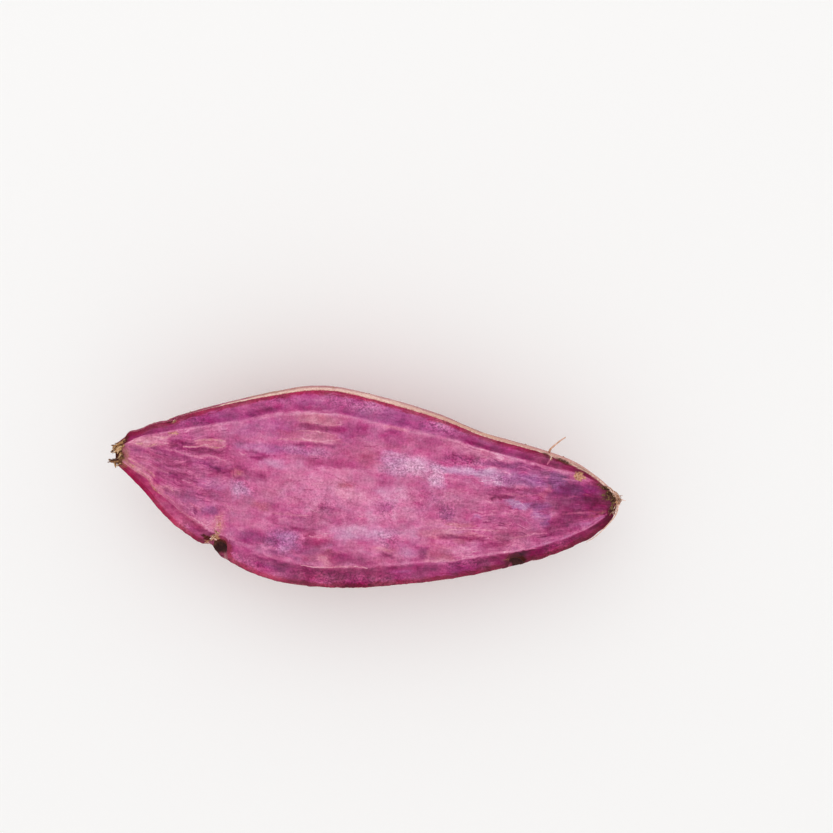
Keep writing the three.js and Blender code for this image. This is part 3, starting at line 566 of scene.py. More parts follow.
def layFlat(mesh, vertices, turn, low, high, skinCount):
    # a flat layout for the bake: the cut face below, the unrolled skin above
    margin = 0.005
    skinFrom, skinShare = 0.42, 0.57
    stemTip, rootTip = vertices[-2:]
    places = np.zeros((len(vertices), 2))
    places[:, 0] = margin + 0.99 * (vertices[:, 0] - stemTip[0]) / (rootTip[0] - stemTip[0])
    places[:, 1] = margin + 0.39 * (vertices[:, 1] - low) / (high - low)
    unrolled = places.copy()
    unrolled[:turn.size, 1] = skinFrom + skinShare * turn.ravel()
    unrolled[-2:, 1] = skinFrom + skinShare / 2
    corners = np.zeros(len(mesh.loops), dtype=int)
    mesh.loops.foreach_get("vertex_index", corners)
    sizes = np.zeros(len(mesh.polygons), dtype=int)
    mesh.polygons.foreach_get("loop_total", sizes)
    onSkinSide = np.repeat(np.arange(len(mesh.polygons)) < skinCount, sizes)
    uv = np.where(onSkinSide[:, None], unrolled[corners], places[corners])
    mesh.uv_layers.new(name="OFBake").data.foreach_set("uv", uv.astype(np.float32).ravel())


def sharpenRim(mesh, onRim):
    # a crisp knife edge where the skin meets the cut face
    ends = np.zeros(len(mesh.edges) * 2, dtype=int)
    mesh.edges.foreach_get("vertices", ends)
    ends = ends.reshape(-1, 2)
    alongRim = onRim[ends].all(1) & (np.abs(ends[:, 0] - ends[:, 1]) != 1)
    mesh.attributes.new("sharp_edge", "BOOLEAN", "EDGE").data.foreach_set("value", alongRim)


def buildHalf():
    # the skin first, read along rays from the middle of the cut face
    tree, points = readSolid()
    edge = points[points[:, 2] > faceHeight - 1e-6]
    stemTip = edge[edge[:, 0].argmin()]
    rootTip = edge[edge[:, 0].argmax()]
    shares = crowded(half["stations"], half["endCrowding"])[1:-1]
    turns = crowded(half["around"], half["rimCrowding"])
    xs = stemTip[0] + shares * (rootTip[0] - stemTip[0])
    middle = stemTip[1] + shares * (rootTip[1] - stemTip[1])
    radii = withoutFacets(readRadii(tree, xs, middle, turns * math.pi))

    def placed(radii):
        y = middle[:, None] + radii * np.cos(turns * math.pi)
        z = faceHeight - radii * np.sin(turns * math.pi)
        return np.stack([np.repeat(xs[:, None], len(turns), 1), y, z], axis=2)

    share = np.repeat(shares[:, None], len(turns), 1)
    turn = np.repeat(turns[None, :], len(shares), 0)
    skin = placed(radii)
    centres = []
    for x, degrees, size in rootScars:
        i = np.abs(xs - x * mm).argmin()
        j = np.abs(turns * 180 - degrees).argmin()
        centres.append((skin[i, j], size))
    marks, swells = scarField(skin, centres)
    relief = skinRelief(skin, share, turn) + swells
    for i in range(len(xs)):
        for side, amount in ((0, half["farJitter"]), (-1, half["nearJitter"])):
            p = Vector((xs[i] / mm / 3.4, side * 5, 0))
            relief[i, side] += amount * noise.fractal(p, 0.7, 2.3, 3)
    for x0, y0, depth, size in rimSteps:
        gap = np.linalg.norm((skin / mm - (x0, y0, faceHeight / mm)) * (1, 1, 0.25), axis=2) / size
        relief -= depth * np.exp(-gap ** 3)
    for x0, y0, size, dark in rimWounds:  # healed wounds are ragged inside
        gap = np.linalg.norm(skin / mm - (x0, y0, faceHeight / mm), axis=2) / size
        for i, j in np.argwhere((gap < 1.6) & (turn > 0) & (turn < 1)):
            grain = noise.fractal(Vector(skin[i, j] / mm / 1.3), 0.7, 2, 3)
            relief[i, j] += half["raggedness"] * math.exp(-gap[i, j] ** 4) * grain
    skin = placed(radii + relief * mm)
    skin[:, :, 2] = np.maximum(skin[:, :, 2], 0)

    # the cut face, between the two rims of each section
    across = crowded(half["across"], half["rimCrowding"])[1:-1]
    far = skin[:, 0, 1]
    near = skin[:, -1, 1]
    face = np.zeros((len(xs), len(across), 3))
    face[:, :, 0] = xs[:, None]
    face[:, :, 1] = far[:, None] + across[None, :] * (near - far)[:, None]
    face[:, :, 2] = faceHeight
    flat = face[:, :, :2].reshape(-1, 2) / mm
    rim = np.concatenate([[stemTip[:2]], skin[:, 0, :2], [rootTip[:2]], skin[::-1, -1, :2]]) / mm
    rimGap = gapToRim(flat, rim)
    x = flat[:, 0]
    y = flat[:, 1]
    # how far across the cortex each point lies: 0 at the rim, 1 at the ring
    wholeFar = np.repeat(blurred(far, 6, 0), len(across)) / mm
    wholeNear = np.minimum(blurred(near, 14, 0), near)  # without the wounds that bite into it
    wholeNear = np.repeat(wholeNear, len(across)) / mm
    farGap = (wholeFar - y) / np.maximum(wholeFar - along(ringFar, x), 0.8)
    nearGap = (y - wholeNear) / np.maximum(along(ringNear, x) - wholeNear, 0.8)
    ringShare = np.minimum(farGap, nearGap)
    fields = paintFlesh(flat, farGap < nearGap)
    drop = half["ringGroove"] * np.exp(-((ringShare - 1) / 0.07) ** 2)
    drop += half["woodSinks"] * fields["bark"] ** 2
    for k in range(len(flat)):
        v = across[k % len(across)] * 46
        drop[k] -= half["fibreRidges"] * noise.fractal(Vector((x[k] / 9, v, 1.3)), 0.8, 2, 3)
        drop[k] -= half["knifeWaves"] * noise.noise(Vector((x[k] / 7, y[k] / 11, 6.1)))
    drop = np.maximum(drop + half["faceSinks"], 0) * smoothStep(0, 0.6, rimGap)
    face[:, :, 2] -= (drop * mm).reshape(face.shape[:2])

    mesh = bpy.data.meshes.new("sweet_potato_half_dressed")
    rows = len(xs)
    columns = len(turns)
    inner = len(across)
    stem = rows * columns + rows * inner
    root = stem + 1

    def skinAt(i, j):
        return i * columns + j

    def faceAt(i, j):
        if j < 0:
            return skinAt(i, 0)
        return skinAt(i, columns - 1) if j >= inner else rows * columns + i * inner + j

    skinFaces = []
    cutFaces = []
    for i in range(rows - 1):
        for j in range(columns - 1):
            skinFaces.append((skinAt(i, j), skinAt(i, j + 1), skinAt(i + 1, j + 1), skinAt(i + 1, j)))
        for j in range(-1, inner):
            cutFaces.append((faceAt(i, j), faceAt(i + 1, j), faceAt(i + 1, j + 1), faceAt(i, j + 1)))
    for j in range(columns - 1):
        skinFaces.append((stem, skinAt(0, j + 1), skinAt(0, j)))
        skinFaces.append((root, skinAt(rows - 1, j), skinAt(rows - 1, j + 1)))
    for j in range(-1, inner):
        cutFaces.append((stem, faceAt(0, j), faceAt(0, j + 1)))
        cutFaces.append((root, faceAt(rows - 1, j + 1), faceAt(rows - 1, j)))
    vertices = np.concatenate([skin.reshape(-1, 3), face.reshape(-1, 3), [stemTip, rootTip]])
    mesh.from_pydata(vertices.tolist(), [], skinFaces + cutFaces)
    mesh.update()
    mesh.polygons.foreach_set("use_smooth", [True] * len(mesh.polygons))
    mesh.polygons.foreach_set("material_index", [0] * len(skinFaces) + [1] * len(cutFaces))

    # the fields that the finishes and the fibres read
    steps = np.linalg.norm(np.diff(skin, axis=1), axis=2)
    arc = np.concatenate([np.zeros((rows, 1)), np.cumsum(steps, 1)], 1) / mm
    lipGap = np.minimum(arc, arc[:, -1:] - arc)
    edgeAndHighlightWidth = np.where(turn < 0.5, along(dryEdgeAndHighlightFar, xs[:, None] / mm), along(lipNear, xs[:, None] / mm))
    stemGap = np.linalg.norm((skin - stemTip) / mm, axis=2)
    rootGap = np.linalg.norm((skin - rootTip) / mm, axis=2)
    skinBark = np.maximum(marks, np.exp(-(stemGap / half["stemBark"]) ** 3))
    skinBark = np.maximum(skinBark, 0.8 * np.exp(-(rootGap / half["rootBark"]) ** 3))
    skinRaw = smoothStep(*half["scraped"], skin[:, :, 0] / mm) * np.exp(-(lipGap / 3.5) ** 2)
    skinRaw = np.maximum(skinRaw, np.where(turn > 0.5, np.exp(-(lipGap / 0.6) ** 2), 0))
    for x0, y0, size, dark in rimWounds:
        gap = np.linalg.norm((skin / mm - (x0, y0, faceHeight / mm)) * (1, 1, 0.6), axis=2) / size
        for i, j in np.argwhere(gap < 3):
            gap[i, j] *= 1 + 0.4 * noise.fractal(Vector(skin[i, j] / mm / 1.6), 0.8, 2, 3)
        skinRaw = np.maximum(skinRaw, np.exp(-(gap / 1.4) ** 6))
        skinBark = np.maximum(skinBark, dark * np.exp(-(gap / 0.9) ** 5))
    empty = np.zeros((rows, columns))
    none = np.zeros(len(flat))
    flowY = np.gradient(face[:, :, 1], axis=0) / np.gradient(face[:, :, 0], axis=0)

    def store(name, onSkin, onFace, atStem, atRoot):
        values = np.concatenate([np.ravel(onSkin), np.ravel(onFace), [atStem, atRoot]])
        mesh.attributes.new(name, "FLOAT", "POINT").data.foreach_set("value", values.astype(np.float32))

    # on the skin, on the face, at the stem's tip and at the root's tip
    store("rimGap", empty, rimGap, 0, 0)
    store("ringShare", empty, ringShare, 0, 0)
    store("tone", empty + 0.45, fields["tone"], 0.3, 0.3)
    store("warmth", empty, fields["warmth"], 0, 0)
    store("cortexTone", empty + 0.4, fields["cortexTone"], 0.3, 0.3)
    store("cortexWarmth", empty, fields["cortexWarmth"], 0.3, 0.3)
    store("speckleAndGlint", empty, fields["speckleAndGlint"], 0, 0)
    store("strandy", empty, fields["strandy"], 1, 1)
    store("bark", skinBark, fields["bark"], 1, 0.8)
    store("raw", skinRaw, none, 0, 0)
    ringPale = np.where(farGap < nearGap, along(ringPaleFar, x), along(ringPaleNear, x))
    store("ringPale", empty, ringPale, 0, 0)
    store("cortexDye", empty, np.where(farGap < nearGap, along(dyeFar, x), along(dyeNear, x)), 0, 0)
    store("straw", np.exp(-(stemGap / half["stemStraw"]) ** 2), fields["straw"], 0.6, 0.9)
    # the pale edge along the rim: dry peel, and on the far side, towards the lamp, partly a painted highlight
    faceEdgeAndHighlight = np.where(farGap < nearGap, rimGap / along(dryEdgeAndHighlightOnFace, x), 9)
    store("edgeAndHighlightShare", lipGap / edgeAndHighlightWidth, faceEdgeAndHighlight, 0, 0)
    store("acrossFlow", empty, np.tile(across, rows) * 56, 28, 28)
    store("aroundFlow", turn * 100, none, 50, 50)
    store("flowSlope", empty, flowY, 0, 0)
    store("onSkin", smoothStep(1, 4, lipGap) * smoothStep(0.6, 1.2, skin[:, :, 2] / mm), none, 0, 0)
    store("onCore", empty, smoothStep(1.1, 1.6, ringShare) * (1 - fields["bark"]), 0, 0)

    layFlat(mesh, vertices, turn, near.min(), far.max(), len(skinFaces))
    onRim = np.zeros(len(vertices), dtype=bool)
    onRim[[skinAt(i, j) for i in range(rows) for j in (0, columns - 1)] + [stem, root]] = True
    sharpenRim(mesh, onRim)
    body = bpy.data.objects.new("sweet_potato_half_dressed", mesh)
    bpy.context.collection.objects.link(body)
    return body


body = buildHalf()
print("the half:", len(body.data.polygons), "faces")


# finishes

def newMaterial(name):
    material = bpy.data.materials.new(name)
    material.use_nodes = True
    material.node_tree.nodes.clear()
    return material, material.node_tree


def addWaves(t, table):
    # soft noise, stretched to its own sizes in mm
    waves = {}
    for name, (over, sizes, detail, seed) in table.items():
        scaled = addNode(t, "ShaderNodeMapping", {"Vector": over, "Scale": [1 / s for s in sizes],
                                                  "Location": (seed, seed, seed)})
        waves[name] = addNode(t, "ShaderNodeTexNoise", {"Vector": scaled, "Scale": 1.0, "Detail": detail,
                                                        "Roughness": 0.6}).outputs["Fac"]
    return waves


def swayed(t, value, wave, amount):
    # a value that follows a wave up and down about its middle
    centred = addNode(t, "ShaderNodeMath", {0: wave, 1: -0.5}, operation="ADD")
    return addNode(t, "ShaderNodeMath", {0: centred, 1: amount, 2: value}, operation="MULTIPLY_ADD")


def covered(t, under, over, place, low, high, most):
    # one colour laid over another, from none of it at low to the most of it at high
    share = addNode(t, "ShaderNodeMapRange", {0: place, 1: low, 2: high, 3: 0.0, 4: most},
                    interpolation_type="SMOOTHSTEP")
    return addNode(t, "ShaderNodeMix", {0: share, 6: under, 7: over}, data_type="RGBA").outputs[2]


# CIE colour: how red, green and blue light make X, Y and Z, and daylight's white
lightToXyz = np.array([(0.4124, 0.3576, 0.1805), (0.2126, 0.7152, 0.0722), (0.0193, 0.1192, 0.9505)])
daylight = np.array([0.9505, 1, 1.089])


def mixed(lightness, strength, hue):
    # the hex colour of a CIE lightness, a strength and a hue in degrees
    middle = (lightness + 16) / 116
    turn = math.radians(hue)
    roots = np.array([middle + strength * math.cos(turn) / 500, middle,
                      middle - strength * math.sin(turn) / 200])
    xyz = np.where(roots ** 3 > 0.008856, roots ** 3, (roots - 16 / 116) / 7.787) * daylight
    light = np.clip(np.linalg.inv(lightToXyz) @ xyz, 0, 1)
    coded = np.where(light <= 0.0031308, light * 12.92, 1.055 * light ** (1 / 2.4) - 0.055)
    return "#%02X%02X%02X" % tuple(int(round(value * 255)) for value in coded)


def colourFamily(hue, strengths):
    # tone to colour in one hue, from tones and how strong the colour is at each
    shadow = 3.2  # how much darker than its tone the colour is
    return [(tone, mixed(tone * 100 - shadow, strength, hue)) for tone, strength in strengths]


# plain flesh, where it is cooler, where it is warmer, and next to the peel
pinks = colourFamily(-9.5, [(0.12, 26), (0.25, 41), (0.35, 47), (0.45, 49), (0.55, 47), (0.65, 41),
                            (0.75, 30), (0.88, 15)])
violets = colourFamily(-24, [(0.12, 25), (0.25, 37), (0.35, 42), (0.45, 43), (0.55, 40), (0.65, 32),
                             (0.75, 25), (0.88, 13)])
salmons = colourFamily(1.5, [(0.12, 27), (0.25, 40), (0.35, 45), (0.45, 46), (0.55, 43), (0.65, 37),
                             (0.75, 28), (0.88, 15)])
crimsons = colourFamily(8, [(0.12, 27), (0.25, 38), (0.35, 45), (0.45, 49), (0.55, 48), (0.7, 38)])


cutFlesh = {
    "streakTone": 0.7,  # how far streaks and blotches shift the tone
    "streakLight": 1.2,  # and how far they lighten and darken it
    "speckTone": 0.25,  # the same two for the specks
    # the pale specks are partly painted glints: this is how far the specks lighten and darken the flesh
    "speckLightAndGlint": 2.9,
    "dye": 0.975,  # how dense the purple dye is: 1 as in the ramps
    "dyeSwing": 0.27,
    "hue": 0.499,  # 0.5 as in the ramps; this is a trace more violet
    "crimsonSway": 3.0,  # mm within which the crimson line next to the peel wanders
    "grain": 0.12 * mm,  # height of the cells that the knife opened
    "roughness": (0.4, 0.6),
}


def fleshFinish():
    # raw sweet potato, knife cut, drying: purple-pink cells that pale and darken in streaks along the
    # root, with a dull damp sheen
    material, t = newMaterial("cut_sweet_potato_flesh")
    fields = {name: addNode(t, "ShaderNodeAttribute", attribute_name=name).outputs["Fac"] for name in (
        "rimGap", "ringShare", "ringPale", "tone", "warmth", "cortexTone", "cortexWarmth", "cortexDye",
        "speckleAndGlint", "strandy", "bark", "straw", "edgeAndHighlightShare", "acrossFlow")}
    place = addNode(t, "ShaderNodeTexCoord").outputs["Object"]
    place = addNode(t, "ShaderNodeVectorMath", {0: place, "Scale": 1 / mm}, operation="SCALE")
    alongRoot = addNode(t, "ShaderNodeSeparateXYZ", {0: place})
    flow = addNode(t, "ShaderNodeCombineXYZ", {0: alongRoot, 1: fields["acrossFlow"]})
    wander = addNode(t, "ShaderNodeTexNoise", {"Vector": place, "Scale": 1 / 6, "Detail": 2.0})
    wandered = addNode(t, "ShaderNodeVectorMath", {0: wander.outputs["Color"], 1: (4.0, 5.0, 0.0), 2: flow},
                       operation="MULTIPLY_ADD")

    # what each runs over, its size in mm along and across the root, detail, seed; real cells are
    # 0.1 mm, and the last three are drawn coarser so that they show
    waves = addWaves(t, {
        "longStreaks": (wandered, (17, 2.0, 1), 3, 0),
        "fineStreaks": (wandered, (6, 0.62, 1), 3, 11),
        "strands": (wandered, (15, 2.6, 1), 2, 5),
        "cracks": (wandered, (9, 2.2, 1), 2, 23),
        "blotches": (place, (4.4, 3, 1), 3, 4),
        "clouds": (place, (11, 7, 1), 2, 31),
        "dye": (place, (4.2, 2.6, 1), 2, 41),
        "cells": (place, (0.6, 0.6, 1), 2, 7),
        "paleCellsAndGlints": (place, (0.62, 0.55, 1), 1, 19),
        "hatch": (place, (0.6, 2.8, 1), 2, 17),
    })
    scaled = addNode(t, "ShaderNodeMapping", {"Vector": wandered, "Scale": (1 / 7, 1 / 3, 1)})
    blocks = addNode(t, "ShaderNodeTexVoronoi", {"Vector": scaled, "Scale": 1.0, "Smoothness": 0.25},
                     feature="SMOOTH_F1")
    blockTone = addNode(t, "ShaderNodeSeparateColor", {0: blocks.outputs["Color"]})
    waves["blocks"] = blockTone.outputs[0]
    waves["warmBlocks"] = blockTone.outputs[1]

    # cells, fibres and stored starch lighten and darken the core about its painted tone
    tone = fields["tone"]
    light = 1.0
    # which waves run together, how much they show where few and where many strands run, and their shares
    for calm, strandy, shares in (
        (0.3, 0.95, (("longStreaks", 0.32), ("fineStreaks", 0.32))),
        (0.85, 1.0, (("blotches", 0.34), ("blocks", 0.06), ("hatch", 0.15))),
    ):
        stir = 0.0
        for name, amount in shares:
            stir = swayed(t, stir, waves[name], amount)
        contrast = addNode(t, "ShaderNodeMapRange", {0: fields["strandy"], 1: 0.25, 2: 1.0,
                                                     3: calm, 4: strandy})
        stir = addNode(t, "ShaderNodeMath", {0: stir, 1: contrast}, operation="MULTIPLY")
        tone = addNode(t, "ShaderNodeMath", {0: stir, 1: cutFlesh["streakTone"], 2: tone},
                       operation="MULTIPLY_ADD")
        light = addNode(t, "ShaderNodeMath", {0: stir, 1: cutFlesh["streakLight"], 2: light},
                        operation="MULTIPLY_ADD")
    cortex = fields["cortexTone"]
    for name, amount in (("blotches", 0.34), ("longStreaks", 0.14), ("fineStreaks", 0.16), ("dye", 0.14)):
        cortex = swayed(t, cortex, waves[name], amount)

    # the ring wanders a little; the cortex is deepest just outside it, and the ring itself is paler
    ringPlace = swayed(t, fields["ringShare"], waves["longStreaks"], 0.35)
    # each goes from one place to another on the way to the ring, which is at 1, with a share at both
    spans = ((0.42, 0.72, 0.0, 1.0), (0.8, 1.0, 1.0, 0.5), (0.88, 1.1, 0.0, 1.0))
    deep, fading, inside = [
        addNode(t, "ShaderNodeMapRange", {0: ringPlace, 1: outer, 2: inner, 3: before, 4: after},
                interpolation_type="SMOOTHSTEP")
        for outer, inner, before, after in spans]
    deep = addNode(t, "ShaderNodeMath", {0: deep, 1: fading}, operation="MULTIPLY")
    deepAmount = addNode(t, "ShaderNodeMapRange", {0: waves["clouds"], 1: 0.35, 2: 0.6, 3: -0.02, 4: -0.065})
    deepened = addNode(t, "ShaderNodeMath", {0: deep, 1: deepAmount, 2: cortex}, operation="MULTIPLY_ADD")
    tone = addNode(t, "ShaderNodeMix", {0: inside, 2: deepened, 3: tone})
    warmth = addNode(t, "ShaderNodeMix", {0: inside, 2: fields["cortexWarmth"], 3: fields["warmth"]})
    ringOff = addNode(t, "ShaderNodeMath", {0: ringPlace, 1: 1.05}, operation="SUBTRACT")
    ringOff = addNode(t, "ShaderNodeMath", {0: ringOff}, operation="ABSOLUTE")
    ring = addNode(t, "ShaderNodeMapRange", {0: ringOff, 1: 0.02, 2: 0.15, 3: 1.0, 4: 0.0},
                   interpolation_type="SMOOTHSTEP")
    broken = addNode(t, "ShaderNodeMapRange", {0: waves["clouds"], 1: 0.35, 2: 0.6, 3: 0.5, 4: 1.4})
    ringAmount = addNode(t, "ShaderNodeMath", {0: fields["ringPale"], 1: broken}, operation="MULTIPLY")
    tone = addNode(t, "ShaderNodeMath", {0: ring, 1: ringAmount, 2: tone}, operation="MULTIPLY_ADD")

    # thin wavy strands, some pale and some dark, where the vessels run together
    for name, width, amount, warmAmount in (("strands", 0.035, 0.1, 0.3), ("cracks", 0.03, -0.13, 0.1)):
        line = addNode(t, "ShaderNodeMath", {0: waves[name], 1: 0.5}, operation="SUBTRACT")
        line = addNode(t, "ShaderNodeMath", {0: line}, operation="ABSOLUTE")
        line = addNode(t, "ShaderNodeMapRange", {0: line, 1: 0.0, 2: width, 3: 1.0, 4: 0.0})
        here = addNode(t, "ShaderNodeMapRange", {0: waves["blotches"], 1: 0.44, 2: 0.56, 3: 0.0, 4: 1.0})
        for share in (here, fields["strandy"], inside):
            line = addNode(t, "ShaderNodeMath", {0: line, 1: share}, operation="MULTIPLY")
        tone = addNode(t, "ShaderNodeMath", {0: line, 1: amount, 2: tone}, operation="MULTIPLY_ADD")
        warmth = addNode(t, "ShaderNodeMath", {0: line, 1: warmAmount, 2: warmth}, operation="MULTIPLY_ADD")

    for name, amount in (("fineStreaks", 0.25), ("warmBlocks", 0.25), ("dye", 0.75), ("clouds", 0.5)):
        warmth = swayed(t, warmth, waves[name], amount)

    # a crimson line next to the peel
    rimPlace = swayed(t, fields["rimGap"], waves["fineStreaks"], cutFlesh["crimsonSway"])
    crimson = addNode(t, "ShaderNodeMapRange", {0: rimPlace, 1: 0.8, 2: 2.1, 3: 1.0, 4: 0.0},
                      interpolation_type="SMOOTHSTEP")
    rimTone = addNode(t, "ShaderNodeMath", {0: cortex, 1: 0.8}, operation="MULTIPLY")
    tone = addNode(t, "ShaderNodeMix", {0: crimson, 2: tone, 3: rimTone})

    # specks: single cells full of dye are dark; the pale specks are cells full of starch and partly painted
    # glints of the damp face
    specksAndGlints = swayed(t, 0.0, waves["cells"], 0.19)
    for name, low, high, amount in (("paleCellsAndGlints", 0.52, 0.66, 0.13), ("cells", 0.52, 0.4, -0.1)):
        spot = addNode(t, "ShaderNodeMapRange", {0: waves[name], 1: low, 2: high, 3: 0.0, 4: amount},
                       interpolation_type="SMOOTHSTEP")
        specksAndGlints = addNode(t, "ShaderNodeMath", {0: spot, 1: fields["speckleAndGlint"], 2: specksAndGlints},
                         operation="MULTIPLY_ADD")
    tone = addNode(t, "ShaderNodeMath", {0: specksAndGlints, 1: cutFlesh["speckTone"], 2: tone},
                   operation="MULTIPLY_ADD")
    light = addNode(t, "ShaderNodeMix", {0: inside, 2: 1.0, 3: light})
    light = addNode(t, "ShaderNodeMath", {0: specksAndGlints, 1: cutFlesh["speckLightAndGlint"], 2: light},
                    operation="MULTIPLY_ADD")

    cool = addNode(t, "ShaderNodeMapRange", {0: warmth, 1: 0.0, 2: -1.0, 3: 0.0, 4: 1.0})
    warm = addNode(t, "ShaderNodeMapRange", {0: warmth, 1: 0.0, 2: 1.0, 3: 0.0, 4: 1.0})
    colour = addNode(t, "ShaderNodeValToRGB", {0: tone}, stops=pinks)
    for share, stops in ((cool, violets), (warm, salmons), (crimson, crimsons)):
        family = addNode(t, "ShaderNodeValToRGB", {0: tone}, stops=stops)
        colour = addNode(t, "ShaderNodeMix", {0: share, 6: colour, 7: family}, data_type="RGBA").outputs[2]

    # the dye is denser in some places than in others
    centred = addNode(t, "ShaderNodeMath", {0: waves["dye"], 1: waves["clouds"]}, operation="SUBTRACT")
    density = addNode(t, "ShaderNodeMath", {0: centred, 1: cutFlesh["dyeSwing"], 2: cutFlesh["dye"]},
                      operation="MULTIPLY_ADD")
    outside = addNode(t, "ShaderNodeMath", {0: 1.0, 1: inside}, operation="SUBTRACT")
    density = addNode(t, "ShaderNodeMath", {0: outside, 1: fields["cortexDye"], 2: density},
                      operation="MULTIPLY_ADD")
    colour = addNode(t, "ShaderNodeHueSaturation", {"Hue": cutFlesh["hue"], "Saturation": density,
                                                    "Value": light, "Color": colour})

    # dry fibre is straw brown, and healed wounds are nearly black
    straw = addNode(t, "ShaderNodeValToRGB", {0: waves["cells"]},
                    stops=[(0.34, "#8E5B42"), (0.5, "#BC8660"), (0.66, "#DDB080")])
    colour = covered(t, colour, straw, swayed(t, fields["straw"], waves["fineStreaks"], 1.4), 0.2, 0.8, 0.85)
    # a pale edge along the far rim: dry peel turned over, and partly a painted highlight
    paleEdgeAndHighlight = addNode(t, "ShaderNodeValToRGB", {0: waves["cells"]},
                  stops=[(0.34, "#BC8479"), (0.5, "#D6A799"), (0.66, "#EBCABB")])
    paleEdgeAndHighlightPlace = swayed(t, fields["edgeAndHighlightShare"], waves["fineStreaks"], 1.2)
    colour = covered(t, colour, paleEdgeAndHighlight, paleEdgeAndHighlightPlace, 1.15, 0.8, 0.92)
    barkPlace = swayed(t, fields["bark"], waves["cells"], 0.8)
    barkMask = addNode(t, "ShaderNodeMapRange", {0: barkPlace, 1: 0.25, 2: 0.75, 3: 0.0, 4: 0.96},
                       interpolation_type="SMOOTHSTEP")
    barkColour = addNode(t, "ShaderNodeValToRGB", {0: waves["fineStreaks"]},
                         stops=[(0.32, "#2C0A07"), (0.5, "#47180F"), (0.72, "#744029")])
    # bark is olive at the root tip
    oliveBark = addNode(t, "ShaderNodeValToRGB", {0: waves["cells"]},
                        stops=[(0.34, "#1D1208"), (0.5, "#40291A"), (0.64, "#80683F")])
    tipShare = addNode(t, "ShaderNodeMapRange", {0: alongRoot, 1: 66.0, 2: 76.0, 3: 0.0, 4: 0.8})
    barkColour = addNode(t, "ShaderNodeMix", {0: tipShare, 6: barkColour, 7: oliveBark},
                         data_type="RGBA").outputs[2]
    colour = addNode(t, "ShaderNodeMix", {0: barkMask, 6: colour, 7: barkColour}, data_type="RGBA").outputs[2]

    height = addNode(t, "ShaderNodeMath", {0: waves["cells"], 1: 0.7, 2: waves["fineStreaks"]},
                     operation="MULTIPLY_ADD")
    bump = addNode(t, "ShaderNodeBump", {"Height": height, "Distance": cutFlesh["grain"], "Strength": 0.6})
    dampest, driest = cutFlesh["roughness"]
    damp = addNode(t, "ShaderNodeMapRange", {0: waves["cells"], 1: 0.3, 2: 0.7, 3: dampest, 4: driest})
    roughness = addNode(t, "ShaderNodeMix", {0: barkMask, 2: damp, 3: 0.85})
    shader = addNode(t, "ShaderNodeBsdfPrincipled", {"Base Color": colour, "Roughness": roughness,
                                                     "IOR": 1.38, "Specular IOR Level": 0.25,
                                                     "Normal": bump})
    addNode(t, "ShaderNodeOutputMaterial", {0: shader})
    return material


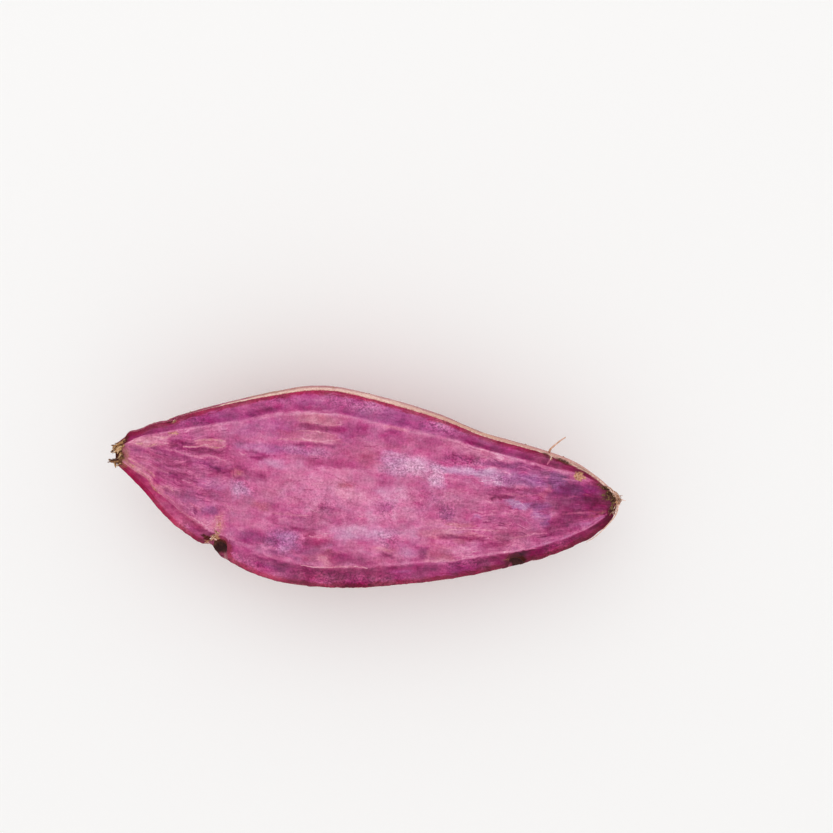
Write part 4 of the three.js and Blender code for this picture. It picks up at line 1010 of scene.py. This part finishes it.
def peelFinish():
    # raw peel: thin dry cork over purple cortex, matt; dusty rose where whole, tan where corky and
    # magenta where rubbed
    material, t = newMaterial("sweet_potato_peel")
    fields = {name: addNode(t, "ShaderNodeAttribute", attribute_name=name).outputs["Fac"]
              for name in ("edgeAndHighlightShare", "bark", "straw", "raw", "aroundFlow")}
    place = addNode(t, "ShaderNodeTexCoord").outputs["Object"]
    place = addNode(t, "ShaderNodeVectorMath", {0: place, "Scale": 1 / mm}, operation="SCALE")
    alongRoot = addNode(t, "ShaderNodeSeparateXYZ", {0: place})
    flow = addNode(t, "ShaderNodeCombineXYZ", {0: alongRoot, 1: fields["aroundFlow"]})
    waves = addWaves(t, {
        "broad": (place, (17, 15, 15), 4, 0),
        "patches": (place, (26, 20, 20), 4, 5),
        "rubbed": (place, (9, 6, 6), 3, 9),
        "streaks": (flow, (7, 0.9, 1), 4, 2),
        "frays": (place, (5, 5, 5), 5, 12),
        "grain": (place, (0.75, 0.75, 0.75), 3, 3),
        "dust": (place, (2.4, 2.2, 2.2), 4, 8),
    })
    # a grain of cork is 0.2 mm or so, and is drawn at 0.75 so that it shows
    colour = addNode(t, "ShaderNodeValToRGB", {0: waves["broad"]},
                     stops=[(0.3, "#A4636E"), (0.45, "#B7797F"), (0.58, "#C48B8B"), (0.72, "#CFA09A")])
    # name of the wave, where it starts and is full, how much covers, colour
    for name, low, high, most, above in (
        ("patches", 0.53, 0.66, 0.8, "#AB8265"), ("rubbed", 0.57, 0.64, 0.75, "#B04B75"),
        ("streaks", 0.54, 0.72, 0.4, "#8A4557"), ("grain", 0.52, 0.68, 0.55, "#7F3E4B"),
        ("dust", 0.55, 0.72, 0.45, "#DAB7AE"),
    ):
        colour = covered(t, colour, linear(above), waves[name], low, high, most)

    # its pale edge is cream, browner towards the root and pinker near the tip: dry peel, and on the far side
    # partly a painted highlight
    paleEdgeAndHighlight = addNode(t, "ShaderNodeValToRGB", {0: waves["grain"]},
                  stops=[(0.35, "#D3A096"), (0.5, "#EAC0B4"), (0.65, "#F6D8CC")])
    for start, full, most, tint in ((4, 30, 0.72, "#C8927A"), (40, 56, 0.72, "#C68E8C")):
        share = addNode(t, "ShaderNodeMapRange", {0: alongRoot, 1: start, 2: full, 3: 0.0, 4: most})
        paleEdgeAndHighlight = addNode(t, "ShaderNodeMix", {0: share, 6: paleEdgeAndHighlight, 7: linear(tint)}, data_type="RGBA").outputs[2]
    colour = covered(t, colour, paleEdgeAndHighlight, swayed(t, fields["edgeAndHighlightShare"], waves["frays"], 2.6), 1.4, 0.4, 1.0)

    # scraped off it bares the cortex; the stalk end is straw and bark
    raw = addNode(t, "ShaderNodeValToRGB", {0: waves["grain"]},
                  stops=[(0.35, "#661834"), (0.5, "#933053"), (0.68, "#B44E76")])
    colour = covered(t, colour, raw, swayed(t, fields["raw"], waves["frays"], 0.9), 0.3, 0.7, 0.95)
    straw = addNode(t, "ShaderNodeValToRGB", {0: waves["grain"]},
                    stops=[(0.35, "#7C4E36"), (0.5, "#A17A64"), (0.68, "#CBA284")])
    colour = covered(t, colour, straw, fields["straw"], 0.2, 0.6, 0.9)
    bark = addNode(t, "ShaderNodeValToRGB", {0: waves["dust"]},
                   stops=[(0.35, "#1F0C08"), (0.55, "#3B1D13"), (0.72, "#6B4632")])
    colour = covered(t, colour, bark, swayed(t, fields["bark"], waves["grain"], 0.6), 0.32, 0.7, 0.93)

    height = addNode(t, "ShaderNodeMath", {0: waves["grain"], 1: 0.7, 2: waves["streaks"]},
                     operation="MULTIPLY_ADD")
    bump = addNode(t, "ShaderNodeBump", {"Height": height, "Distance": 0.2 * mm, "Strength": 0.7})
    roughness = addNode(t, "ShaderNodeMapRange", {0: waves["grain"], 1: 0.3, 2: 0.7, 3: 0.66, 4: 0.88})
    shader = addNode(t, "ShaderNodeBsdfPrincipled", {"Base Color": colour, "Roughness": roughness,
                                                     "IOR": 1.45, "Specular IOR Level": 0.2,
                                                     "Normal": bump})
    addNode(t, "ShaderNodeOutputMaterial", {0: shader})
    return material


def fibreFinish(name, stops):
    # dry bast and wood fibre, matt: each fibre has its own shade from dark to pale
    material, t = newMaterial(name)
    shade = addNode(t, "ShaderNodeAttribute", attribute_name="shade").outputs["Fac"]
    place = addNode(t, "ShaderNodeTexCoord").outputs["Object"]
    mottle = addNode(t, "ShaderNodeTexNoise", {"Vector": place, "Scale": 1 / (0.7 * mm), "Detail": 3.0})
    colour = addNode(t, "ShaderNodeValToRGB", {0: swayed(t, shade, mottle, 0.9)}, stops=stops)
    shader = addNode(t, "ShaderNodeBsdfPrincipled", {"Base Color": colour, "Roughness": 0.75, "IOR": 1.45})
    addNode(t, "ShaderNodeOutputMaterial", {0: shader})
    return material


flesh = fleshFinish()
body.data.materials.append(peelFinish())
body.data.materials.append(flesh)
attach(body, "root")
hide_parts("sweet_potato_half")
stalkBrown = fibreFinish("dry_stalk_fibre", [(0.05, "#260D06"), (0.3, "#5E341B"), (0.55, "#98693F"),
                                             (0.8, "#C79B6C"), (0.95, "#E5C8A8")])
bastTan = fibreFinish("dry_bast_fibre", [(0.05, "#5E3A26"), (0.3, "#96684A"), (0.6, "#C8967A"),
                                         (0.85, "#E8BFAE"), (0.97, "#F6DDD5")])


# fibres that stand free, each a thin tapering tube

def addFibre(mesh, shades, path, radii, shade, sides=5):
    # path in mm, shades one to a point; the ends are closed
    rings = []
    for k, p in enumerate(path):
        ahead = path[min(k + 1, len(path) - 1)] - path[max(k - 1, 0)]
        turn = ahead.to_track_quat("Z", "Y").to_matrix()
        ring = []
        for s in range(sides):
            angle = 2 * math.pi * s / sides
            offset = turn @ Vector((math.cos(angle), math.sin(angle), 0)) * radii[k]
            ring.append(mesh.verts.new((p + offset) * mm))
        rings.append(ring)
    for low, high in zip(rings, rings[1:]):
        for s in range(sides):
            mesh.faces.new((low[s], low[(s + 1) % sides], high[(s + 1) % sides], high[s]))
    mesh.faces.new(rings[0][::-1])
    mesh.faces.new(rings[-1])
    shades.extend([shade] * (len(rings) * sides))


def finishFibres(name, mesh, values, material):
    # values: what the finish reads at each point, by name
    data = bpy.data.meshes.new(name)
    mesh.to_mesh(data)
    mesh.free()
    for field, amounts in values.items():
        data.attributes.new(field, "FLOAT", "POINT").data.foreach_set("value", amounts)
    data.polygons.foreach_set("use_smooth", [True] * len(data.polygons))
    data.materials.append(material)
    piece = bpy.data.objects.new(name, data)
    bpy.context.collection.objects.link(piece)
    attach(piece, "root")
    print(name, len(data.polygons), "faces")


def addBundle(mesh, shades, dice, bundle, thickness, shadeRange):
    # a torn strand: splinters that start together and spread towards a broken tip
    start, tip, thick, broken, count = bundle
    a = Vector(start)
    b = Vector(tip)
    onward = (b - a).normalized()
    side = onward.cross(Vector((0, 0, 1))).normalized()
    up = side.cross(onward)
    length = (b - a).length
    for n in range(count):
        angle = dice.uniform(0, 2 * math.pi)
        around = (side * math.cos(angle) + up * math.sin(angle)) * math.sqrt(dice.random())
        reach = dice.uniform(0.6, 1.08)
        kink = side * dice.uniform(-0.16, 0.16) * length + up * dice.uniform(-0.08, 0.12) * length
        path = []
        for k in range(7):
            t = k / 6
            p = a.lerp(b, t * reach) + around * (thick * (1 - t) + broken * t) / 2 + kink * t ** 2.5
            p += side * 0.1 * math.sin(7 * t + n) + up * 0.08 * math.cos(6 * t + 2 * n)
            path.append(p + Vector((0, 0, faceHeight / mm)))
        radius = dice.uniform(*thickness)
        radii = [radius * (1.15 - 0.75 * (k / 6) ** 3) for k in range(7)]
        addFibre(mesh, shades, path, radii, dice.uniform(*shadeRange))


# torn bundles: where they start and end in mm, z from the knife's plane, width at both ends, splinters
stalk = {
    "bundles": [
        ((-80.6, 9, -0.9), (-84.6, 8.1, -0.5), 1.5, 1.0, 10),
        ((-81.2, 7.2, -0.9), (-84.4, 7.4, -1.2), 1.3, 0.8, 9),
        ((-81.4, 6.4, -0.8), (-84.7, 6, -0.5), 0.8, 0.4, 6),
        ((-80.6, 3.2, -0.9), (-85.4, 3.4, -0.7), 0.8, 0.6, 9),
        ((-83.4, 3.1, -0.8), (-82.8, 1.1, -1.0), 0.5, 0.3, 4),
        ((-81, 6.8, -2.4), (-84.2, 7.1, -4), 1.1, 0.7, 8),
        ((-80.9, 9.9, -0.1), (-84.2, 8, 0.1), 0.8, 0.9, 8),
        ((-81.4, 8.6, -0.1), (-84.4, 6.2, 0.15), 0.9, 0.6, 8),
        ((-81.4, 7.9, -0.1), (-83.1, 6, 0.2), 1.0, 0.8, 8),
        ((-80.7, 6, -0.1), (-82.2, 4.2, 0.1), 1.0, 0.8, 7),
        ((-81, 3.4, -0.1), (-85.3, 3.4, 0.1), 0.7, 0.6, 7),
        ((-81.3, 6.6, 0), (-81.3, 3.4, 0.1), 0.7, 0.6, 6),
        ((-80.2, 10.6, -0.1), (-82, 9.6, 0), 0.4, 0.4, 4),
        ((-80.1, 8.6, -0.1), (-81.7, 7.4, 0.05), 1.2, 1.1, 4),
        ((-80.2, 4.8, -0.1), (-81.7, 4.9, 0.05), 1.2, 1.0, 5),
        ((-81.2, 3, -0.2), (-82.9, 1.3, 0), 0.5, 0.4, 4),
    ],
    "thickness": (0.13, 0.32),  # mm, half the width of a splinter
    "shades": (0.2, 0.92),  # 0 the darkest, 1 the palest
    "seed": 4,
}
scarSplinters = {
    "bundles": [
        ((-49.6, -20.2, -0.2), (-47.6, -18.4, 0.15), 0.9, 0.9, 8),
        ((-47.4, -20, -0.4), (-49.4, -18.9, 0.2), 0.8, 0.6, 6),
        ((-46.8, -18.2, -0.1), (-48.6, -17.1, 0.1), 0.5, 0.5, 4),
        ((-51.4, -21.3, -0.15), (-49.4, -21.3, -0.1), 0.15, 0.15, 2),
        ((60.9, 15.9, -0.1), (61.3, 17.8, 0.1), 0.4, 0.6, 4),
        ((70.8, 10.1, -0.1), (70.5, 12.5, 0.1), 0.7, 0.9, 4),
        ((-64.9, 17.8, -0.2), (-64.2, 18.9, 0), 0.25, 0.3, 3),
    ],
    "thickness": (0.09, 0.2),
    "shades": (0.3, 0.95),
    "seed": 9,
}


def makeTorn(name, torn, material):
    dice = random.Random(torn["seed"])
    mesh = bmesh.new()
    shades = []
    for bundle in torn["bundles"]:
        addBundle(mesh, shades, dice, bundle, torn["thickness"], torn["shades"])
    finishFibres(name, mesh, {"shade": shades}, material)


makeTorn("stalk_splinters", stalk, stalkBrown)
makeTorn("scar_splinters", scarSplinters, bastTan)

# the dried fringe of short fibres along the rim of the root end, in mm
fringe = {
    "count": 84,
    "farShare": 0.66,  # of the fibres grow on the far side
    "tipY": 4.0,  # where the tip parts the far side from the near side
    "from": 70,  # how far along the root the rim is followed
    "farFrom": 80.5,  # where the fibres start on each side
    "nearFrom": 83.4,
    "densest": 85.2,
    "last": 85.6,
    "length": (0.8, 2.1),
    "radius": (0.07, 0.14),
    "shades": (0.35, 0.95),
    "brownFrom": 84.4,  # the fibres right at the tip are browner
    "brownShades": (0.08, 0.72),
    "seed": 11,
}


def rimPoints():
    # the rim in mm from the far side of the root end round its tip to the near side
    top = [v.co / mm for v in body.data.vertices if v.co.z > faceHeight - 1e-7]
    ends = [p for p in top if p.x > fringe["from"]]
    far = sorted([p for p in ends if p.y >= fringe["tipY"]], key=lambda p: p.x)
    near = sorted([p for p in ends if p.y < fringe["tipY"]], key=lambda p: -p.x)
    return far + near


def makeFringe():
    dice = random.Random(fringe["seed"])
    rim = rimPoints()
    mesh = bmesh.new()
    shades = []
    for n in range(fringe["count"]):
        far = dice.random() < fringe["farShare"]
        first = fringe["farFrom"] if far else fringe["nearFrom"]
        wanted = dice.triangular(first, fringe["last"], fringe["densest"])
        candidates = [k for k, p in enumerate(rim) if (p.y >= fringe["tipY"]) == far]
        at = min(candidates, key=lambda k: abs(rim[k].x - wanted))
        ahead = rim[min(at + 3, len(rim) - 1)] - rim[max(at - 3, 0)]
        ahead.z = 0
        ahead.normalize()
        outward = Vector((-ahead.y, ahead.x, 0))
        inset = dice.uniform(-1.1, 0.1) * float(smoothStep(78, 84, wanted))
        start = rim[at] + outward * inset + Vector((0, 0, dice.uniform(-0.25, 0.12)))
        turn = Matrix.Rotation(dice.gauss(0, 0.3), 3, "Z")
        heading = turn @ ahead * (1 if dice.random() < 0.5 else -1)
        length = dice.uniform(*fringe["length"])
        bend = dice.uniform(-0.3, 0.3)
        path = []
        for k in range(6):
            t = k / 5
            p = start + heading * length * (t - 0.5) + outward * bend * math.sin(math.pi * t)
            p.z += 0.2 * math.sin(math.pi * t * 0.8)
            path.append(p)
        radius = dice.uniform(*fringe["radius"])
        radii = [radius * (0.45 + 0.55 * math.sin(math.pi * (0.12 + 0.76 * k / 5))) for k in range(6)]
        atTip = far and wanted > fringe["brownFrom"]
        shade = dice.uniform(*fringe["brownShades"]) if atTip else dice.uniform(*fringe["shades"])
        addFibre(mesh, shades, path, radii, shade)
    finishFibres("root_tip_fringe", mesh, {"shade": shades}, bastTan)


makeFringe()

# rootlets and loose threads of the peel: points in mm, z from the knife's plane, radius at the root, shade
rootlets = [
    ([(60.5, 18.4, -1.6), (60.7, 19.5, -0.5), (62, 21, 0), (63.6, 22.6, 0.3), (65.3, 23.9, 0)], 0.4, 0.62),
    ([(84.9, 4.9, -0.4), (85.8, 4.7, -0.1), (86.6, 4.5, 0), (87.2, 4.4, -0.2)], 0.17, 0.85),
    ([(84.6, 5.6, -0.6), (85.5, 6, -0.3), (86.1, 5.9, -0.4)], 0.13, 0.7),
    ([(85, 3.2, 0), (84.4, -0.3, 0), (82.6, -3.2, 0), (80.4, -6, 0), (78, -8.6, -0.1),
      (75.4, -10.6, -0.3)], 0.25, 0.8),
]


def makeRootlets():
    mesh = bmesh.new()
    shades = []
    for points, radius, shade in rootlets:
        path = smoothPath([Vector(p) + Vector((0, 0, faceHeight / mm)) for p in points], 4)
        radii = [radius * (1 - 0.55 * k / (len(path) - 1)) for k in range(len(path))]
        addFibre(mesh, shades, path, radii, shade, sides=8)
    finishFibres("rootlets", mesh, {"shade": shades}, bastTan)


makeRootlets()


def makeStrands():
    # the bared strands are flesh too, so they carry what the flesh finish reads
    surface = BVHTree.FromObject(body, bpy.context.evaluated_depsgraph_get())
    mesh = bmesh.new()
    owners = []
    for n, strand in enumerate(paleStrands):
        path, widths = strandPath(strand, n)
        for k, p in enumerate(path):
            hit = surface.ray_cast(Vector((p.x * mm, p.y * mm, faceHeight + mm)), Vector((0, 0, -1)))[0]
            top = hit.z / mm if hit else faceHeight / mm
            p.z = top - widths[k] + strandForm["proud"] * min(1, widths[k] / 0.3)
        addFibre(mesh, owners, path, widths, n, sides=8)
    plain = {"rimGap": 9, "ringShare": 2, "speckleAndGlint": 0.1, "strandy": 0.6, "edgeAndHighlightShare": 9}
    values = {name: [value] * len(owners) for name, value in plain.items()}
    values["tone"] = [paleStrands[n][2] for n in owners]
    values["warmth"] = [paleStrands[n][3] for n in owners]
    values["straw"] = [sum(paleStrands[n][4:]) for n in owners]
    finishFibres("bared_strands", mesh, values, flesh)


makeStrands()


# what grows out of the surface by rule

def growOn(name, tree, sizes):
    # runs a node tree over the dressed half and keeps the result as a plain mesh
    piece = bpy.data.objects.new(name, body.data)
    bpy.context.collection.objects.link(piece)
    modifier = piece.modifiers.new(name, "NODES")
    modifier.node_group = tree
    for socket in tree.interface.items_tree:
        if socket.in_out == "INPUT" and socket.name in sizes:
            modifier[socket.identifier] = sizes[socket.name]
    ready = piece.evaluated_get(bpy.context.evaluated_depsgraph_get())
    mesh = bpy.data.meshes.new_from_object(ready)
    piece.modifiers.remove(modifier)
    piece.data = mesh
    mesh.name = name
    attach(piece, "root")
    print(name, len(mesh.polygons), "faces")


def newTree(name, sizes):
    tree = bpy.data.node_groups.new(name, "GeometryNodeTree")
    tree.interface.new_socket("Geometry", in_out="INPUT", socket_type="NodeSocketGeometry")
    for label, value in sizes.items():
        kind = "NodeSocketInt" if isinstance(value, int) else "NodeSocketFloat"
        tree.interface.new_socket(label, in_out="INPUT", socket_type=kind)
    tree.interface.new_socket("Geometry", in_out="OUTPUT", socket_type="NodeSocketGeometry")
    return tree, addNode(tree, "NodeGroupInput").outputs


def scattered(t, given, share):
    # points on the surface, as many as its share of the most
    density = addNode(t, "ShaderNodeMath", {0: share, 1: given["per square metre"]}, operation="MULTIPLY")
    return addNode(t, "GeometryNodeDistributePointsOnFaces", {"Mesh": given["Geometry"], "Density": density,
                                                              "Seed": given["seed"]})


def finishTree(t, instances, material):
    # real geometry with its own finish
    whole = addNode(t, "GeometryNodeRealizeInstances", {0: instances})
    dressed = addNode(t, "GeometryNodeSetMaterial", {"Geometry": whole, "Material": material})
    addNode(t, "NodeGroupOutput", {0: dressed})
    return t


strandlets = {
    "per square metre": 26000.0,  # where the most strands run
    "shortest": 1.6 * mm,
    "longest": 6.5 * mm,
    "radius": 0.14 * mm,  # at the middle of a strandlet; the ends are fine
    "wobble": 0.6 * mm,  # how far one strays to its sides
    "seed": 7,
}


def strandletTree():
    # short wavy vessel ends that lie along the flow of the flesh
    t, given = newTree("strandlets", strandlets)
    fields = {name: addNode(t, "GeometryNodeInputNamedAttribute", {"Name": name}, data_type="FLOAT")
              for name in ("onCore", "strandy", "flowSlope", "tone", "drift")}
    chances = {name: addNode(t, "FunctionNodeRandomValue", {2: low, 3: high, "Seed": seed},
                             data_type="FLOAT").outputs[1]
               for name, low, high, seed in (
                   ("lean", -0.24, 0.24, 3), ("length", given["shortest"], given["longest"], 5),
                   ("tone", -0.09, 0.11, 9), ("drift", 0.0, 1.2, 13))}
    share = addNode(t, "ShaderNodeMath", {0: fields["onCore"], 1: fields["strandy"]}, operation="MULTIPLY")
    points = scattered(t, given, share)
    lean = addNode(t, "ShaderNodeMath", {0: fields["flowSlope"], 1: chances["lean"]}, operation="ADD")
    heading = addNode(t, "ShaderNodeCombineXYZ", {0: 1.0, 1: lean})
    turn = addNode(t, "FunctionNodeAlignRotationToVector", {"Vector": heading}, axis="X", pivot_axis="Z")
    line = addNode(t, "GeometryNodeCurvePrimitiveLine", {"Start": (-0.5, 0, 0), "End": (0.5, 0, 0)})
    scale = addNode(t, "ShaderNodeCombineXYZ", {0: chances["length"], 1: 1.0, 2: 1.0})
    lines = addNode(t, "GeometryNodeInstanceOnPoints", {"Points": points, "Instance": line, "Rotation": turn,
                                                        "Scale": scale})
    tone = addNode(t, "ShaderNodeMath", {0: fields["tone"], 1: chances["tone"]}, operation="ADD")
    for name, value in (("tone", tone), ("drift", chances["drift"])):
        lines = addNode(t, "GeometryNodeStoreNamedAttribute", {"Geometry": lines, "Name": name,
                                                               "Value": value},
                        data_type="FLOAT", domain="INSTANCE")
    laid = addNode(t, "GeometryNodeRealizeInstances", {0: lines})
    divided = addNode(t, "GeometryNodeResampleCurve", {"Curve": laid, "Count": 9})
    where = addNode(t, "GeometryNodeInputPosition")
    waves = addNode(t, "ShaderNodeTexNoise", {"Vector": where, "W": fields["drift"],
                                              "Scale": 1 / (2.2 * mm), "Detail": 2.0},
                    noise_dimensions="4D")
    # soft noise seldom swings far, so it is trebled
    stray = swayed(t, 0.0, waves, given["wobble"])
    stray = addNode(t, "ShaderNodeMath", {0: stray, 1: 3.0}, operation="MULTIPLY")
    sideways = addNode(t, "ShaderNodeCombineXYZ", {1: stray})
    wavy = addNode(t, "GeometryNodeSetPosition", {"Geometry": divided, "Offset": sideways})
    parameter = addNode(t, "GeometryNodeSplineParameter")
    halfTurn = addNode(t, "ShaderNodeMath", {0: parameter, 1: math.pi}, operation="MULTIPLY")
    swell = addNode(t, "ShaderNodeMath", {0: halfTurn}, operation="SINE")
    radius = addNode(t, "ShaderNodeMath", {0: swell, 1: given["radius"], 2: 0.02 * mm},
                     operation="MULTIPLY_ADD")
    outline = addNode(t, "GeometryNodeCurvePrimitiveCircle", {"Resolution": 5, "Radius": 1.0})
    tubes = addNode(t, "GeometryNodeCurveToMesh", {"Curve": wavy, "Profile Curve": outline, "Scale": radius,
                                                   "Fill Caps": True})
    return finishTree(t, tubes, flesh)


growOn("strandlets", strandletTree(), strandlets)

lenticels = {
    "per square metre": 9000.0,
    "width": 0.75 * mm,  # half of its length round the root
    "height": 0.26 * mm,  # half of its width along the root
    "swelling": 0.16 * mm,
    "seed": 21,
}


def lenticelTree():
    # breathing pores: short corky dashes that lie across the root
    t, given = newTree("lenticels", lenticels)
    skin = addNode(t, "GeometryNodeInputNamedAttribute", {"Name": "onSkin"}, data_type="FLOAT")
    points = scattered(t, given, skin)
    turn = addNode(t, "FunctionNodeAlignRotationToVector", {"Rotation": points.outputs["Rotation"],
                                                            "Vector": (1.0, 0.0, 0.0)},
                   axis="Y", pivot_axis="Z")
    size = addNode(t, "FunctionNodeRandomValue", {2: 0.5, 3: 1.5, "Seed": 2}, data_type="FLOAT")
    shape = addNode(t, "ShaderNodeCombineXYZ", {0: given["width"], 1: given["height"], 2: given["swelling"]})
    scale = addNode(t, "ShaderNodeVectorMath", {0: shape, "Scale": size.outputs[1]}, operation="SCALE")
    bead = addNode(t, "GeometryNodeMeshUVSphere", {"Segments": 8, "Rings": 6, "Radius": 1.0})
    beads = addNode(t, "GeometryNodeInstanceOnPoints", {"Points": points, "Instance": bead, "Rotation": turn,
                                                        "Scale": scale})
    shade = addNode(t, "FunctionNodeRandomValue", {2: 0.25, 3: 0.8, "Seed": 4}, data_type="FLOAT")
    shaded = addNode(t, "GeometryNodeStoreNamedAttribute", {"Geometry": beads, "Name": "shade",
                                                            "Value": shade.outputs[1]},
                     data_type="FLOAT", domain="INSTANCE")
    return finishTree(t, shaded, bastTan)


growOn("lenticels", lenticelTree(), lenticels)


# floor, light and camera

studio = {
    "floor": 6.0,  # m across
    "floorColour": "#F7F6F5",
    "skyStrength": 0.94,
    "lampPower": 2.2,  # W
    "lampSize": 1.2,  # m across
    "lampAt": (-0.25, 0.7, 1.25),  # m; it stands behind the root and to its left
    "lens": 85,  # mm
    "distance": 0.652,  # m from the camera to the point it looks at
    "aim": (15.4, 26.6),  # mm on the cut face
    "roll": 4.84,  # degrees that the root's line drops to the right
    "lean": 5.0,  # degrees by which the camera looks from over the far edge
}


def setStage():
    mesh = bpy.data.meshes.new("floor")
    s = studio["floor"] / 2
    mesh.from_pydata([(-s, -s, 0), (s, -s, 0), (s, s, 0), (-s, s, 0)], [], [(0, 1, 2, 3)])
    floor = bpy.data.objects.new("floor", mesh)
    bpy.context.collection.objects.link(floor)
    material, t = newMaterial("pale_paper")
    # matt paper: it takes a soft shadow and shows no glint
    shader = addNode(t, "ShaderNodeBsdfPrincipled", {"Base Color": linear(studio["floorColour"]),
                                                     "Roughness": 0.9})
    addNode(t, "ShaderNodeOutputMaterial", {0: shader})
    mesh.materials.append(material)

    scene = bpy.context.scene
    world = bpy.data.worlds.new("soft_studio")
    scene.world = world
    world.use_nodes = True
    world.node_tree.nodes["Background"].inputs[0].default_value = (1, 1, 1, 1)
    world.node_tree.nodes["Background"].inputs[1].default_value = studio["skyStrength"]
    scene.view_settings.view_transform = "Standard"

    aim = Vector((studio["aim"][0] * mm, studio["aim"][1] * mm, faceHeight))
    lamp = bpy.data.lights.new("soft_box", "AREA")
    lamp.energy = studio["lampPower"]
    lamp.size = studio["lampSize"]
    lampObject = bpy.data.objects.new("soft_box", lamp)
    lampObject.location = studio["lampAt"]
    lampObject.rotation_euler = (aim - lampObject.location).to_track_quat("-Z", "Y").to_euler()
    bpy.context.collection.objects.link(lampObject)

    camera = bpy.data.cameras.new("camera")
    camera.lens = studio["lens"]
    cameraObject = bpy.data.objects.new("camera", camera)
    roll = Matrix.Rotation(math.radians(studio["roll"]), 3, "Z")
    look = roll @ Matrix.Rotation(math.radians(-studio["lean"]), 3, "X")
    cameraObject.location = aim + look @ Vector((0, 0, studio["distance"]))
    cameraObject.rotation_euler = look.to_euler()
    bpy.context.collection.objects.link(cameraObject)
    scene.camera = cameraObject


setStage()
print("stage set")
